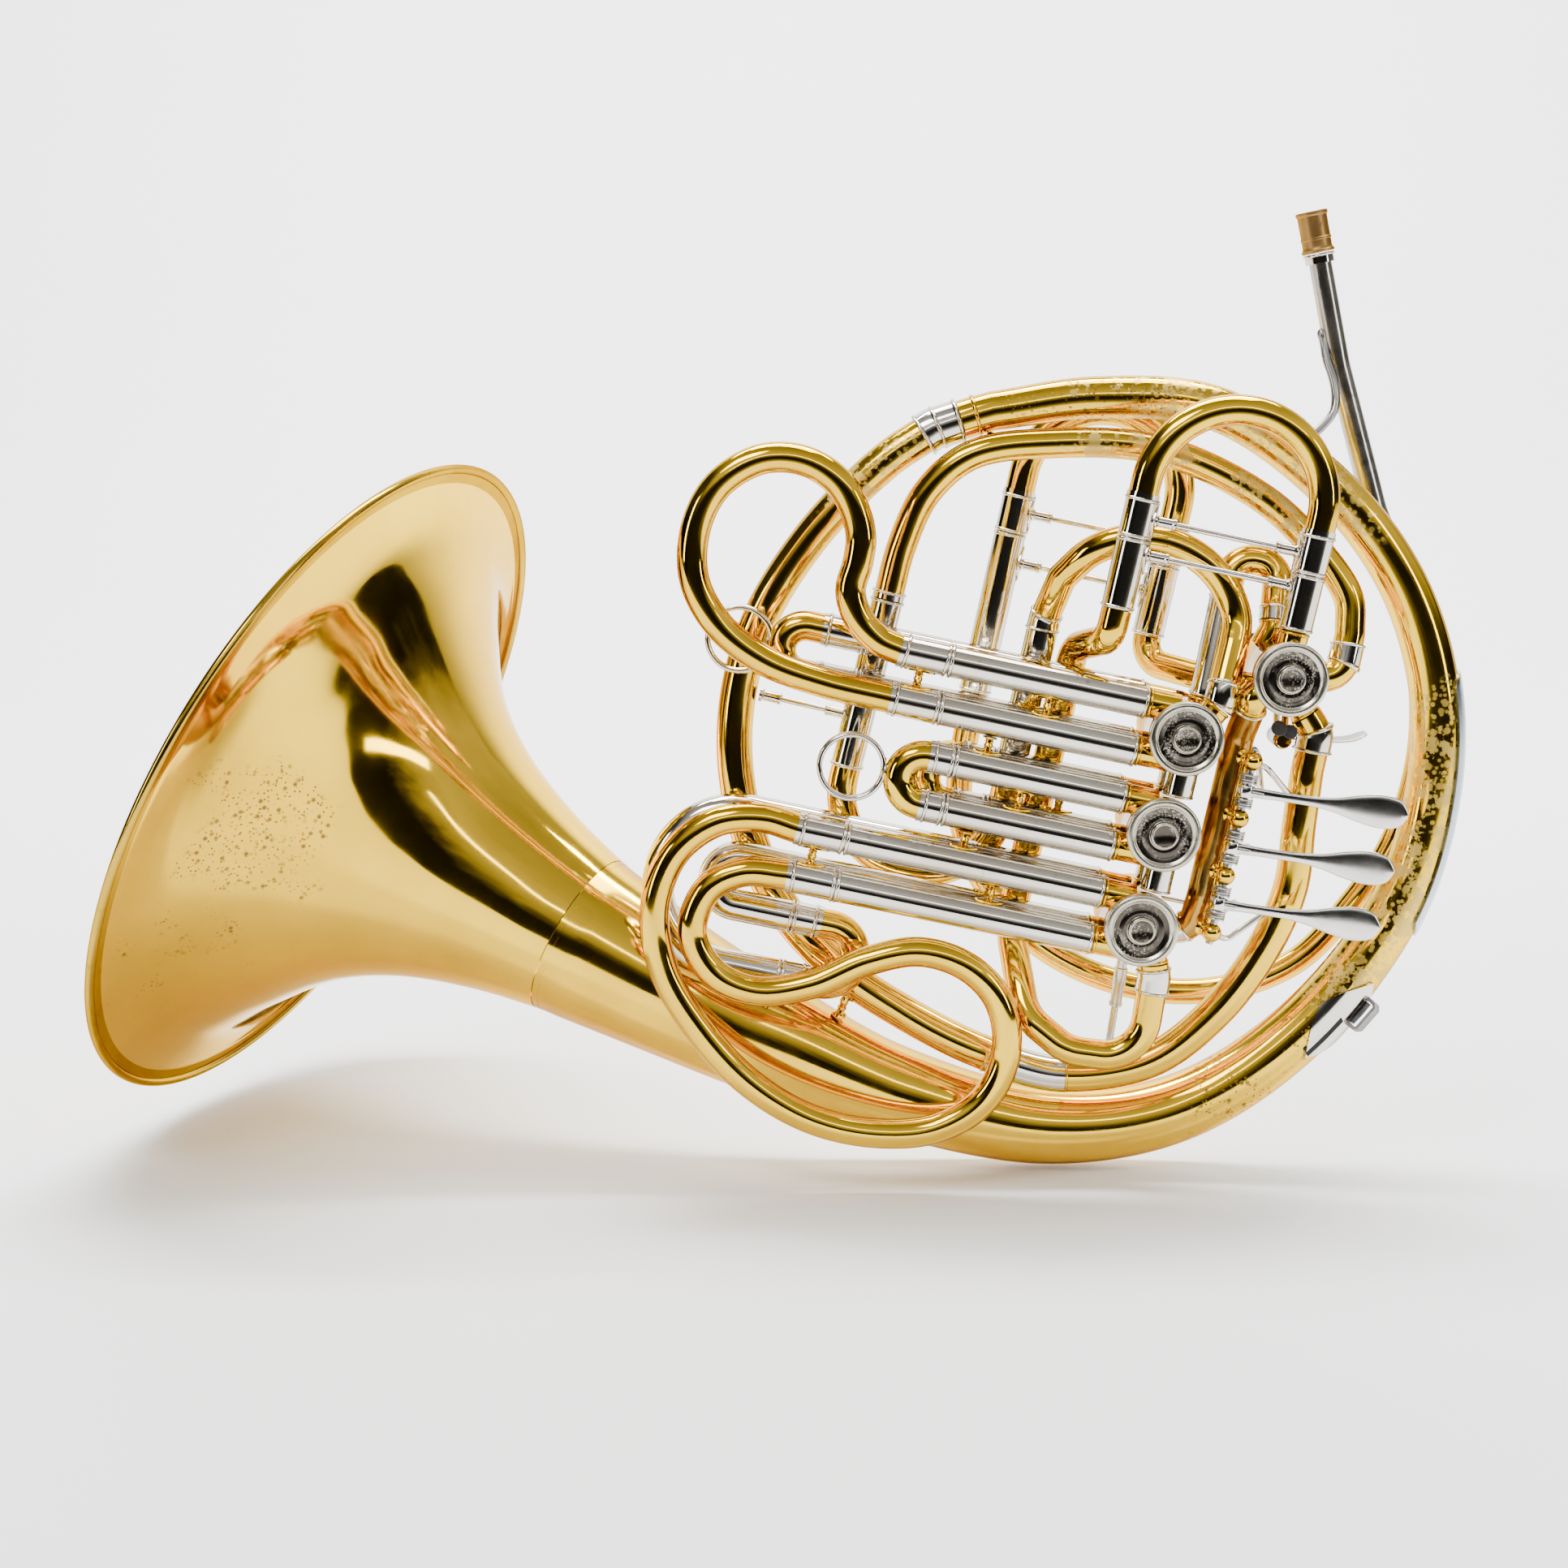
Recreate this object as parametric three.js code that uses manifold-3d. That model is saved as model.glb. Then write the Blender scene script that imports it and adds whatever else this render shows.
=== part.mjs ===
// A double French horn with four rotary valves, in millimetres, +Z up, the bell to the left (-X), the back of
// the horn towards +Y. The origin is the lowest point of the bell tail, where the horn rests in its holder.
// Everything is laid out in the horn's own directions: u along the slides, y in depth, w up the row of valves.
import * as THREE from "three";
import { mergeVertices } from "three/addons/utils/BufferGeometryUtils.js";
import Module from "manifold-3d";

const wasm = await Module();
wasm.setup();

// ---------------------------------------------------------------- driving dimensions

const TILT = THREE.MathUtils.degToRad(12); // the slides slope down to the right by this much
const REST_POINT = [33.6, -10, 150.35]; // moves the tail's lowest point to the origin

const VALVE_PITCH = 39.7;
const LEG_OFFSET = VALVE_PITCH / 4; // each slide leg lies this far above or below its valve's axis
const FRONT = -26; // depth of the F side
const REAR = -7; // depth of the B flat side
const BEHIND = 7; // depth of the legs that cross behind both sets of slides
const BACK = 30.5; // depth of the main tuning slide and the leadpipe
const RING_DEPTH = 12;

const GAP = 0.3; // between pieces that are soldered, screwed or pushed together
const BRASS = 6.2; // outer radius of the brass tubes
const BRASS_BORE = 4.9; // the short fixed tubes between the valves are drawn without it
const SLEEVE = 6.6; // outer radius of the nickel tubes
const SLEEVE_BORE = 5.95;
const INNER_LEG = 5.4; // outer radius of a slide's inner leg
const INNER_BORE = 4.6;
const BEAD = 7.0; // outer radius of a ferrule

const CASING = { radius: 14.3, bore: 12.9, front: -36, plate: 6, back: 10 };
const PORT_END = 17; // a slide's outer legs start this far from the valve's axis
const CAP_RADIUS = 14.9;
const PIN_RADIUS = 7.5; // from a rotor's axis to the pin of its stop arm
const LINK_DEPTH = 19.3;

const AXLE = { u: 30, y: -27, radius: 1.6 };
const POST_PITCH = 24;
const LEVER_PITCH = 23.6;
const LEVER_MIDDLE = -0.7;
const THUMB = { u: 46, w: 43 };

const BELL_RADIUS = 155.5;
const BELL_MOUTH = [-351.2, 82.3, -70.6]; // centre of the rim
const BELL_AXIS = [0.9156, -0.3143, -0.2508]; // from the rim towards the throat
const BELL_LENGTH = 140; // from the rim to the flare's seam
const BELL_WALL = 0.9;

const SIDES = 8;
const ARC_STEP = THREE.MathUtils.degToRad(36);
const VALVES = { 1: [0, VALVE_PITCH], 2: [0, 0], 3: [0, -VALVE_PITCH], 4: [35, 71.6] };

const LACQUER = { color: 0xd9a441, roughness: 0.22, metalness: 1 };
const NICKEL = { color: 0xc9c0b0, roughness: 0.2, metalness: 1 };
const STEEL = { color: 0x9a9a9c, roughness: 0.35, metalness: 1 };
const CAP_FINISH = { color: 0x6e6a62, roughness: 0.3, metalness: 1 };
const AGED = { color: 0x8a6a48, roughness: 0.4, metalness: 1 };

// ---------------------------------------------------------------- solids

// A closed three.js geometry as a solid that can be joined and cut.
function solid(geometry) {
  const bare = geometry.clone();
  bare.deleteAttribute("normal");
  bare.deleteAttribute("uv");
  const merged = mergeVertices(bare, 1e-4);
  const corners = new Uint32Array(merged.index.array);
  const points = merged.attributes.position.array;
  const make = () => new wasm.Manifold(new wasm.Mesh({ numProp: 3, vertProperties: points, triVerts: corners }));
  const made = make();
  if (made.volume() > 0) return made;
  for (let i = 0; i < corners.length; i += 3) {
    [corners[i + 1], corners[i + 2]] = [corners[i + 2], corners[i + 1]];
  }
  return make();
}

const join = (...solids) => solids.reduce((whole, piece) => whole.add(piece));
const cut = (whole, ...solids) => solids.reduce((rest, piece) => rest.subtract(piece), whole);

function geometryOf(made) {
  const mesh = made.getMesh();
  const geometry = new THREE.BufferGeometry();
  geometry.setAttribute("position", new THREE.BufferAttribute(new Float32Array(mesh.vertProperties), 3));
  geometry.setIndex(new THREE.BufferAttribute(new Uint32Array(mesh.triVerts), 1));
  const flat = geometry.toNonIndexed();
  flat.computeVertexNormals();
  return flat;
}

// A piece turned round the depth axis: the profile is [radius, y] points, closed on itself or on the axis.
function turned(profile, sides = 20) {
  const points = profile.map(([radius, y]) => new THREE.Vector2(radius, y));
  return solid(new THREE.LatheGeometry(points, sides));
}

const disc = (radius, from, to, sides = 16) => turned([[0, from], [radius, from], [radius, to], [0, to]], sides);

// ---------------------------------------------------------------- routes and tubes

const at = ([u, y, w]) => new THREE.Vector3(u, y, w);

function withoutRepeats(points) {
  return points.filter((point, i) => i === 0 || point.distanceTo(points[i - 1]) > 0.05);
}

// Straight lines joined by arcs: each corner is [u, y, w, bend radius].
function bent(...corners) {
  const points = corners.map(at);
  const route = [points[0]];
  for (let i = 1; i < points.length - 1; i += 1) {
    const into = points[i].clone().sub(points[i - 1]).normalize();
    const out = points[i + 1].clone().sub(points[i]).normalize();
    const turn = into.angleTo(out);
    const radius = corners[i][3];
    const start = points[i].clone().addScaledVector(into, -radius * Math.tan(turn / 2));
    const inward = out.clone().sub(into).normalize();
    const centre = points[i].clone().addScaledVector(inward, radius / Math.cos(turn / 2));
    const axis = into.clone().cross(out).normalize();
    const steps = Math.max(2, Math.ceil(turn / ARC_STEP));
    for (let step = 0; step <= steps; step += 1) {
      const spoke = start.clone().sub(centre).applyAxisAngle(axis, (turn * step) / steps);
      route.push(spoke.add(centre));
    }
  }
  route.push(points.at(-1));
  return withoutRepeats(route);
}

// A smooth curve through a few points.
function smooth(points, steps) {
  return new THREE.CatmullRomCurve3(points.map(at)).getSpacedPoints(steps);
}

const chain = (...routes) => withoutRepeats(routes.flat());

function distances(route) {
  const reach = [0];
  for (let i = 1; i < route.length; i += 1) {
    reach.push(reach[i - 1] + route[i].distanceTo(route[i - 1]));
  }
  return reach;
}

const lengthOf = (route) => distances(route).at(-1);

// The part of a route between two distances along it.
function slice(route, from, to) {
  const reach = distances(route);
  const end = to ?? reach.at(-1);
  const pointAt = (s) => {
    const i = Math.min(reach.findLastIndex((r) => r <= s + 1e-9), route.length - 2);
    return route[i].clone().lerp(route[i + 1], (s - reach[i]) / (reach[i + 1] - reach[i]));
  };
  const inside = route.filter((point, i) => reach[i] > from + 0.05 && reach[i] < end - 0.05);
  return [pointAt(from), ...inside, pointAt(end)];
}

// A route made longer at both ends.
function stretched(route, extra) {
  const first = route[0].clone().sub(route[1]).normalize().multiplyScalar(extra).add(route[0]);
  const last = route.at(-1).clone().sub(route.at(-2)).normalize().multiplyScalar(extra).add(route.at(-1));
  return [first, ...route.slice(1, -1), last];
}

// Axes across the route at each of its points, carried along it without twist.
function framesOf(route) {
  const frames = [];
  let across = new THREE.Vector3(0, 1, 0);
  route.forEach((point, i) => {
    const before = i > 0 ? point.clone().sub(route[i - 1]).normalize() : new THREE.Vector3();
    const after = i < route.length - 1 ? route[i + 1].clone().sub(point).normalize() : new THREE.Vector3();
    const along = before.add(after).normalize();
    if (i === 0 && Math.abs(along.y) > 0.99) across.set(1, 0, 0);
    across = across.clone().addScaledVector(along, -across.dot(along)).normalize();
    frames.push({ point, along, across });
  });
  return frames;
}

// A tube swept along a route. outer and bore are radii, or functions of the distance along it; collars are
// [from, to, radius] stretches of larger or smaller outer radius. Without a bore the tube is solid.
function tube(route, { outer = BRASS, bore = BRASS_BORE, collars = [], sides = SIDES } = {}) {
  const reach = distances(route);
  const total = reach.at(-1);
  const frames = framesOf(route);
  const outerAt = typeof outer === "function" ? outer : () => outer;
  const boreAt = typeof bore === "function" ? bore : () => bore;
  const edges = [...new Set(collars.flatMap(([from, to]) => [from, to]))];
  const stops = [...reach.filter((s) => !edges.some((edge) => Math.abs(edge - s) < 0.2)), ...edges];
  stops.sort((a, b) => a - b);
  const skin = [];
  for (const s of stops) {
    const starts = collars.find(([from]) => from === s);
    const ends = collars.find(([, to]) => to === s);
    const around = collars.find(([from, to]) => s > from && s < to);
    const before = ends ? ends[2] : around ? around[2] : outerAt(s);
    const after = starts ? starts[2] : around ? around[2] : outerAt(s);
    if (s > 0.01) skin.push([before, s]);
    if (s < total - 0.01 && (s <= 0.01 || after !== before)) skin.push([after, s]);
  }
  const profile = [[0, 0], ...skin, [0, total]].map(([radius, s]) => new THREE.Vector2(radius, s));
  const geometry = new THREE.LatheGeometry(profile, sides);
  const position = geometry.attributes.position;
  for (let i = 0; i < position.count; i += 1) {
    const s = position.getY(i);
    const k = Math.min(reach.findLastIndex((r) => r <= s + 1e-4), route.length - 1);
    const onStation = Math.abs(s - reach[k]) < 1e-3 || k === route.length - 1;
    const next = Math.min(k + 1, route.length - 1);
    const along = onStation ? frames[k].along : route[next].clone().sub(route[k]).normalize();
    const centre = onStation ? route[k].clone() : route[k].clone().addScaledVector(along, s - reach[k]);
    const across = frames[k].across.clone().addScaledVector(along, -frames[k].across.dot(along)).normalize();
    const third = along.clone().cross(across);
    centre.addScaledVector(across, position.getX(i)).addScaledVector(third, position.getZ(i));
    position.setXYZ(i, centre.x, centre.y, centre.z);
  }
  const body = solid(geometry);
  if (boreAt(0) === 0) return body;
  const hollow = { outer: (s) => boreAt(THREE.MathUtils.clamp(s - 1, 0, total)), bore: 0, sides: sides - 2 };
  return cut(body, tube(stretched(route, 1), hollow));
}

const rod = (from, to, radius, sides = 8) => tube([at(from), at(to)], { outer: radius, bore: 0, sides });

// The small turned brass post between two tubes, with a foot at each end.
function baluster(from, to) {
  const length = at(from).distanceTo(at(to));
  const collars = [
    [0, length * 0.25, 2.9],
    [length * 0.75, length, 2.9],
  ];
  return tube([at(from), at(to)], { outer: 2, bore: 0, collars, sides: 6 });
}

// A thin brace rod with a wider socket at each end.
function braceRod(from, to) {
  const length = at(from).distanceTo(at(to));
  return tube([at(from), at(to)], {
    outer: 1.7,
    bore: 0,
    collars: [
      [0, 9, 3],
      [length - 9, length, 3],
    ],
    sides: 6,
  });
}

// A flat piece cut from a sheet: the outline is in u and w, the sheet runs from one depth to another.
function plate(shape, front, back, curveSegments = 5) {
  const geometry = new THREE.ExtrudeGeometry(shape, { depth: back - front, bevelEnabled: false, curveSegments });
  geometry.rotateX(Math.PI / 2);
  geometry.translate(0, back, 0);
  return solid(geometry);
}

// ---------------------------------------------------------------- the horn and its parts

const horn = new THREE.Group();
horn.rotation.y = TILT;
horn.position.set(...REST_POINT);

function part(name, made, finish, parent = horn) {
  const mesh = new THREE.Mesh(geometryOf(made), new THREE.MeshStandardMaterial(finish));
  mesh.name = name;
  parent.add(mesh);
}

// ---------------------------------------------------------------- bell, tail and first branch

const mouth = at(BELL_MOUTH);
const bellAxis = at(BELL_AXIS).normalize();
const onBellAxis = (distance) => mouth.clone().addScaledVector(bellAxis, distance);

// Outer radius at a distance behind the rim.
const FLARE = [
  [0, 155.5], [5, 136], [14, 118], [27, 99], [44, 79], [68, 61], [100, 47], [BELL_LENGTH, 36.5],
];

function bellFlare() {
  const rim = 2;
  const skin = FLARE.map(([distance, radius]) => [radius, distance]);
  const lining = FLARE.slice(1).map(([distance, radius]) => [radius - BELL_WALL * 1.3, distance]);
  const bead = [
    [BELL_RADIUS - rim * 2, -rim * 0.4],
    [BELL_RADIUS - rim * 0.3, -rim],
  ];
  const profile = [...bead, ...skin, ...lining.reverse(), bead[0]];
  const geometry = new THREE.LatheGeometry(profile.map(([radius, y]) => new THREE.Vector2(radius, y)), 34);
  geometry.applyQuaternion(new THREE.Quaternion().setFromUnitVectors(new THREE.Vector3(0, 1, 0), bellAxis));
  geometry.translate(mouth.x, mouth.y, mouth.z);
  return solid(geometry);
}

// The ring: points down the tail from the flare's seam, round the horn to the ferrule, with outer radii.
const TAIL_POINTS = [
  [...onBellAxis(BELL_LENGTH + 8).toArray(), 35.2],
  [-180, 25.2, -116.8, 30],
  [-135, 14.5, -127, 25],
  [-79.5, 10, -137.6, 19.3],
  [-11.8, 10, -139.3, 16.2],
  [40.9, 10.5, -120.1, 14.4],
  [83.4, 11.5, -77, 13],
  [110.6, RING_DEPTH, -17.8, 11.6],
  [113.9, RING_DEPTH, 32.2, 10.9],
  [104.3, RING_DEPTH, 75.7, 10.5],
  [80.9, RING_DEPTH, 115.7, 10.1],
  [42.5, RING_DEPTH, 148.2, 9.6],
  [-10.5, RING_DEPTH, 169.4, 9.1],
  [-60.4, RING_DEPTH, 163.6, 8.6],
  [-100, RING_DEPTH, 149.6, 8.1],
];
const RING_JOINT = [-112, RING_DEPTH, 143.2]; // where the tail meets the first branch's ferrule
const RING_JOINT_WAY = [0.87, 0, 0.493];
const nearRingJoint = (distance) => at(RING_JOINT).addScaledVector(at(RING_JOINT_WAY), distance);
const tailRoute = chain(
  [onBellAxis(BELL_LENGTH + GAP)],
  smooth(TAIL_POINTS, 23),
  [nearRingJoint(5), nearRingJoint(GAP / 2)],
);

// Radius at a distance along the ring, read between the points above.
function tailRadius(s) {
  const here = slice(tailRoute, 0, Math.max(s, 0.1)).at(-1);
  const gaps = TAIL_POINTS.map((point) => at(point).distanceTo(here));
  const nearest = gaps.indexOf(Math.min(...gaps));
  const sides = [nearest - 1, nearest + 1].filter((i) => i >= 0 && i < TAIL_POINTS.length);
  const other = sides.reduce((best, i) => (gaps[i] < gaps[best] ? i : best), sides[0]);
  const share = gaps[nearest] / (gaps[nearest] + gaps[other]);
  return TAIL_POINTS[nearest][3] * (1 - share) + TAIL_POINTS[other][3] * share;
}

const FIRST_BRANCH = [
  [56.6, REAR, 34], [58.6, REAR, 12], [61.6, -6, -16], [56.5, -5, -44], [43, -3.5, -75], [22, -2, -100],
  [-14, -1.2, -113.6], [-48, 0, -111], [-82, 6.5, -103], [-114, 8.3, -90], [-142, 8.8, -69], [-164, 10, -38],
  [-176.5, RING_DEPTH, 0], [-176.4, RING_DEPTH, 42], [-161.8, RING_DEPTH, 84.1], [-139, RING_DEPTH, 120],
  nearRingJoint(-12).toArray(),
];
const firstBranchRoute = chain(
  bent([45, REAR, 61.6], [56.5, REAR, 50.1, 9], [56.6, REAR, 34]),
  smooth(FIRST_BRANCH, 19),
  [nearRingJoint(-GAP / 2)],
);
const FIRST_BRANCH_PORT = 7.5;

function firstBranch() {
  const route = slice(firstBranchRoute, FIRST_BRANCH_PORT + GAP);
  const length = lengthOf(route);
  const body = tube(route, {
    outer: (s) => 6.6 + Math.min(s / 120, 0.6) + (s / length) * 0.5,
    bore: 5.4,
    collars: [
      [7, 16.5, 8],
      [length - 16, length, 8.7],
    ],
  });
  return join(body, baluster([-107, 3, -96.5], [-108.5, 6, -109]));
}

part("bell_flare", bellFlare(), LACQUER);
part("bell_tail", tube(tailRoute, { outer: tailRadius, bore: (s) => tailRadius(s) - 1, sides: 10 }), LACQUER);
part("first_branch", firstBranch(), LACQUER);

// ---------------------------------------------------------------- leadpipe

const leadpipeRoute = chain(
  bent([18.3, 30, 240], [37, 29.5, 197.5, 60], [58, 29.5, 158, 60], [66, 30, 143]),
  smooth([
    [66, 30, 143], [84, 31, 116], [100, 31, 84], [109.5, 31.5, 48], [108.5, 32, 10], [98, 31.5, -20], [79, 31, -52],
    [48, 30.5, -71], [10, 30.5, -76.5], [-30, 30.5, -67], [-60, 30.5, -44], [-76.5, 30.5, -14], [-80.2, BACK, 20],
    [-80.4, BACK, 33],
  ], 16),
);

function leadpipe() {
  const route = leadpipeRoute;
  const body = tube(route, {
    outer: (s) => 4.6 + Math.min(s / 260, 1),
    bore: (s) => 3.4 + Math.min(s / 260, 1),
    collars: [[0, 4, 6.6]],
  });
  const bracket = tube(
    smooth([
      [27.1, 28.3, 208.5], [28.9, 27.6, 204.5], [31, 25.5, 198.5], [34.8, 22.8, 191.5], [37.2, 21, 185],
      [37.6, 19, 178.5], [34.6, 17.3, 172.3], [31, 16, 167.5],
    ], 5),
    { outer: 1.5, bore: 0, sides: 6 },
  );
  return join(body, bracket);
}

const receiverAxis = at([18.3, 30, 240]).sub(at([37, 29.5, 197.5])).normalize();
const receiverFoot = at([18.3, 30, 240]).addScaledVector(receiverAxis, GAP);

function receiver() {
  const tip = receiverFoot.clone().addScaledVector(receiverAxis, 17);
  return tube([receiverFoot, tip], {
    outer: 6.1,
    bore: (s) => 4 + s * 0.045,
    collars: [
      [0, 1.6, 6.8],
      [15.6, 17, 6.6],
    ],
    sides: 12,
  });
}

part("leadpipe", leadpipe(), NICKEL);
part("mouthpiece_receiver", receiver(), AGED);

// ---------------------------------------------------------------- fixed tubes between the valves and slides

const PORT = 7; // length of a port's stub, from where its route starts inside the casing
const LONG_PORT = 11.5; // the same for a port that leaves its casing at a slant

const fBranchRoute = chain(
  bent([46, REAR, 72.5], [61, REAR, 72.5, 9], [61, REAR + 3, 92]),
  smooth([
    [61, REAR + 3, 92], [57.5, -1.5, 106], [42, 2, 121.5], [15, 4, 138], [-30, 4.5, 148.4], [-74, 5, 142],
    [-105, 5.5, 130.5], [-119.5, 6.5, 112], [-125, BEHIND, 88], [-125.9, BEHIND, 66],
  ], 14),
);

const returnRoute = bent(
  [-125.9, BEHIND, 66 - GAP], [-128.9, BEHIND, -43, 32], [-61, BEHIND, -43, 32], [-61, BEHIND, 66],
);

const invertedRoute = chain(
  bent([-61, BEHIND, 66 + GAP], [-61, BEHIND, 72, 10], [-58.5, 0, 90]),
  smooth([
    [-58.5, 0, 90], [-50, -7.5, 103], [-38, -11.3, 110.8], [-24, -12.4, 113.5], [-8, -12.6, 110], [5, -12.8, 101],
    [12.6, -14, 89], [13.2, -17.5, 78],
  ], 9),
  bent([13.2, -17.5, 78], [11.6, FRONT, 61, 12], [11.6, FRONT, 55, 4], [7.8, FRONT, VALVE_PITCH + 7.8]),
);

const smallRoute = bent(
  [7.8, REAR, VALVE_PITCH + 7.8], [8.4, REAR, 57, 8], [8.6, 3, 113, 9], [27, 0, 113, 9], [29.5, REAR, 88, 8],
  [27, REAR, 79.6],
);

const thirdLoopRoute = bent(
  [-37.3, FRONT, 84 - GAP], [-37.5, FRONT, 71.5, 8], [-46.5, BEHIND, 62.5, 9], [-47, BEHIND, -57, 30],
  [-35, -17.5, -88.5, 20], [-16, -24.5, -97.5, 18], [13.6, FRONT, -95, 17], [11.6, FRONT, -60, 6],
  [7.8, FRONT, -VALVE_PITCH - 7.8],
);

const bypassRoute = bent(
  [29, FRONT, 65.6], [24.8, FRONT, 60, 4], [24.8, -13.5, 43, 12], [25, -14, -25, 8], [25, -9, -41.5, 9],
  [11, -7, -41.5],
);

const mainElbowRoute = bent(
  [31, REAR, 68], [22, -3.3, 60.9, 6], [14.5, 6.5, 60.9, 14], [-14.5, BACK, 60.9, 10], [-14.5, BACK, 71.5],
);

function fBranch() {
  const route = slice(fBranchRoute, PORT);
  const length = lengthOf(route);
  const body = tube(route, {
    bore: 0,
    collars: [
      [11, 20, BEAD],
      [length - 3, length, BEAD],
    ],
  });
  return join(body, baluster([-99, 7, 136.8], [-98.8, 7.9, 140.3]));
}

function returnLoop() {
  const body = tube(returnRoute, { bore: 0, collars: [[0, 60, SLEEVE]] });
  return join(body, braceRod([-133, 7.5, 15.6], [-169.4, 11, 15.8]));
}

function invertedCrook() {
  const route = slice(invertedRoute, 0, lengthOf(invertedRoute) - PORT - GAP);
  const length = lengthOf(route);
  return tube(route, { bore: 0, collars: [[length - 8, length - 1, SLEEVE]] });
}

function smallCrook() {
  const route = slice(smallRoute, PORT + GAP, lengthOf(smallRoute) - LONG_PORT - GAP);
  return tube(route, { bore: 0, collars: [[0.4, 42, SLEEVE]] });
}

function thirdValveLoop() {
  const route = slice(thirdLoopRoute, 0, lengthOf(thirdLoopRoute) - PORT - GAP);
  const length = lengthOf(route);
  return tube(route, { bore: 0, collars: [[length - 11, length - 2, BEAD]] });
}

part("f_branch", fBranch(), LACQUER);
part("return_loop", returnLoop(), NICKEL);
part("inverted_crook", invertedCrook(), LACQUER);
part("small_crook", smallCrook(), LACQUER);
part("third_valve_loop", thirdValveLoop(), LACQUER);
part(
  "bypass_tube",
  tube(slice(bypassRoute, LONG_PORT + GAP, lengthOf(bypassRoute) - PORT - GAP), { bore: 0 }),
  LACQUER,
);
part("main_elbow", tube(slice(mainElbowRoute, LONG_PORT + 5 + GAP), { outer: 5.9, bore: 0 }), LACQUER);

// ---------------------------------------------------------------- valves

// Stubs of a casing, each the first stretch of a tube's route, moved to the valve's own centre.
function stubsOf(valve) {
  const back = (route) => [...route].reverse();
  const slideLegs = (depth) => [1, -1].map((side) => [
    at([-4, depth, side * LEG_OFFSET]),
    at([-PORT_END + GAP, depth, side * LEG_OFFSET]),
  ]);
  const local = (route, length) => {
    const [u, w] = VALVES[valve];
    return slice(route, 0, length).map((point) => point.clone().sub(at([u, 0, w])));
  };
  const down = [FRONT, REAR].map((depth) => [at([3.6, depth, -10]), at([3.6, depth, -VALVE_PITCH + 14.8])]);
  const own = {
    1: () => [...down, local(back(invertedRoute), PORT), local(smallRoute, PORT)],
    2: () => down,
    3: () => [local(back(thirdLoopRoute), PORT), local(back(bypassRoute), PORT)],
    4: () => [
      local(firstBranchRoute, FIRST_BRANCH_PORT),
      local(fBranchRoute, PORT - GAP),
      local(back(smallRoute), LONG_PORT),
      local(bypassRoute, LONG_PORT),
      local(mainElbowRoute, LONG_PORT + 5),
      [at([-0.6, FRONT, 10]), at([-0.6, FRONT, 18])],
    ],
  }[valve]();
  return valve === 4 ? own : [...own, ...slideLegs(FRONT), ...slideLegs(REAR)];
}

function casing(valve) {
  const { radius, bore, front, plate: inner, back } = CASING;
  const routes = stubsOf(valve);
  const shell = disc(radius, front, back, 16);
  const stubs = routes.map((route) => tube(route, { outer: 6, bore: 0 }));
  const openings = routes.map((route) => tube(stretched(route, 1), { outer: BRASS_BORE, bore: 0, sides: 6 }));
  const chamber = disc(bore, front - 1, inner, 16);
  return cut(join(shell, ...stubs), chamber, disc(3.95, inner - 1, back + 1, 8), ...openings);
}

function rotor() {
  const body = turned([[0, -33.5], [12.2, -33.5], [12.2, 5.2], [3.5, 5.2], [3.5, 18.6], [0, 18.6]], 12);
  const passages = [FRONT, REAR].flatMap((depth) =>
    [-9.6, 9.6].map((u) => rod([u, depth, -14], [u, depth, 14], BRASS_BORE, 6)));
  return cut(body, ...passages);
}

const cap = () => turned([
  [0, -41.3], [4.8, -41.3], [5.8, -39], [11.9, -39], [13, -40], [CAP_RADIUS, -39.6],
  [CAP_RADIUS, CASING.front - GAP], [12.4, CASING.front - GAP], [12.4, -34.4], [0, -34.4],
], 16);

// The arm on the rotor's shaft, with its pin at an angle round the shaft.
function stopArm(angle) {
  const [u, w] = [Math.cos(angle) * PIN_RADIUS, Math.sin(angle) * PIN_RADIUS];
  const moved = (made) => made.translate([u, 0, w]);
  const blade = join(disc(5.4, 14.6, 17.4, 10), moved(disc(2.8, 14.6, 17.4, 6)), moved(disc(1.3, 17.4, 21, 6)));
  return cut(blade, disc(3.95, 14, 18, 8));
}

// The rod from a stop arm's pin towards a lever's arm, drawn with the pin at its origin.
function link(length) {
  const [front, back] = [LINK_DEPTH - 1.1, LINK_DEPTH + 1.1];
  const eye = disc(3, front, back, 10);
  const bar = rod([0, LINK_DEPTH, 0], [length, LINK_DEPTH, 0], 1.2, 6);
  return cut(join(eye, bar), disc(1.75, front - 1, back + 1, 8));
}

const QUARTER = Math.PI / 4;
const PIN_ANGLES = { 1: -QUARTER, 2: -QUARTER, 3: QUARTER, 4: -3 * QUARTER };
const LINK_LENGTHS = { 1: 29, 2: 29, 3: 29, 4: 7.4 };

for (const [valve, [u, w]] of Object.entries(VALVES)) {
  const place = new THREE.Group();
  place.position.set(u, 0, w);
  horn.add(place);
  const angle = PIN_ANGLES[valve];
  part(`valve_casing_${valve}`, casing(Number(valve)), LACQUER, place);
  part(`rotor_${valve}`, rotor(), LACQUER, place);
  part(`valve_cap_${valve}`, cap(), CAP_FINISH, place);
  part(`stop_arm_${valve}`, stopArm(angle), STEEL, place);
  const pin = new THREE.Group();
  pin.position.set(Math.cos(angle) * PIN_RADIUS, 0, Math.sin(angle) * PIN_RADIUS);
  place.add(pin);
  part(`link_${valve}`, link(LINK_LENGTHS[valve]), STEEL, pin);
}

// ---------------------------------------------------------------- levers

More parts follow.
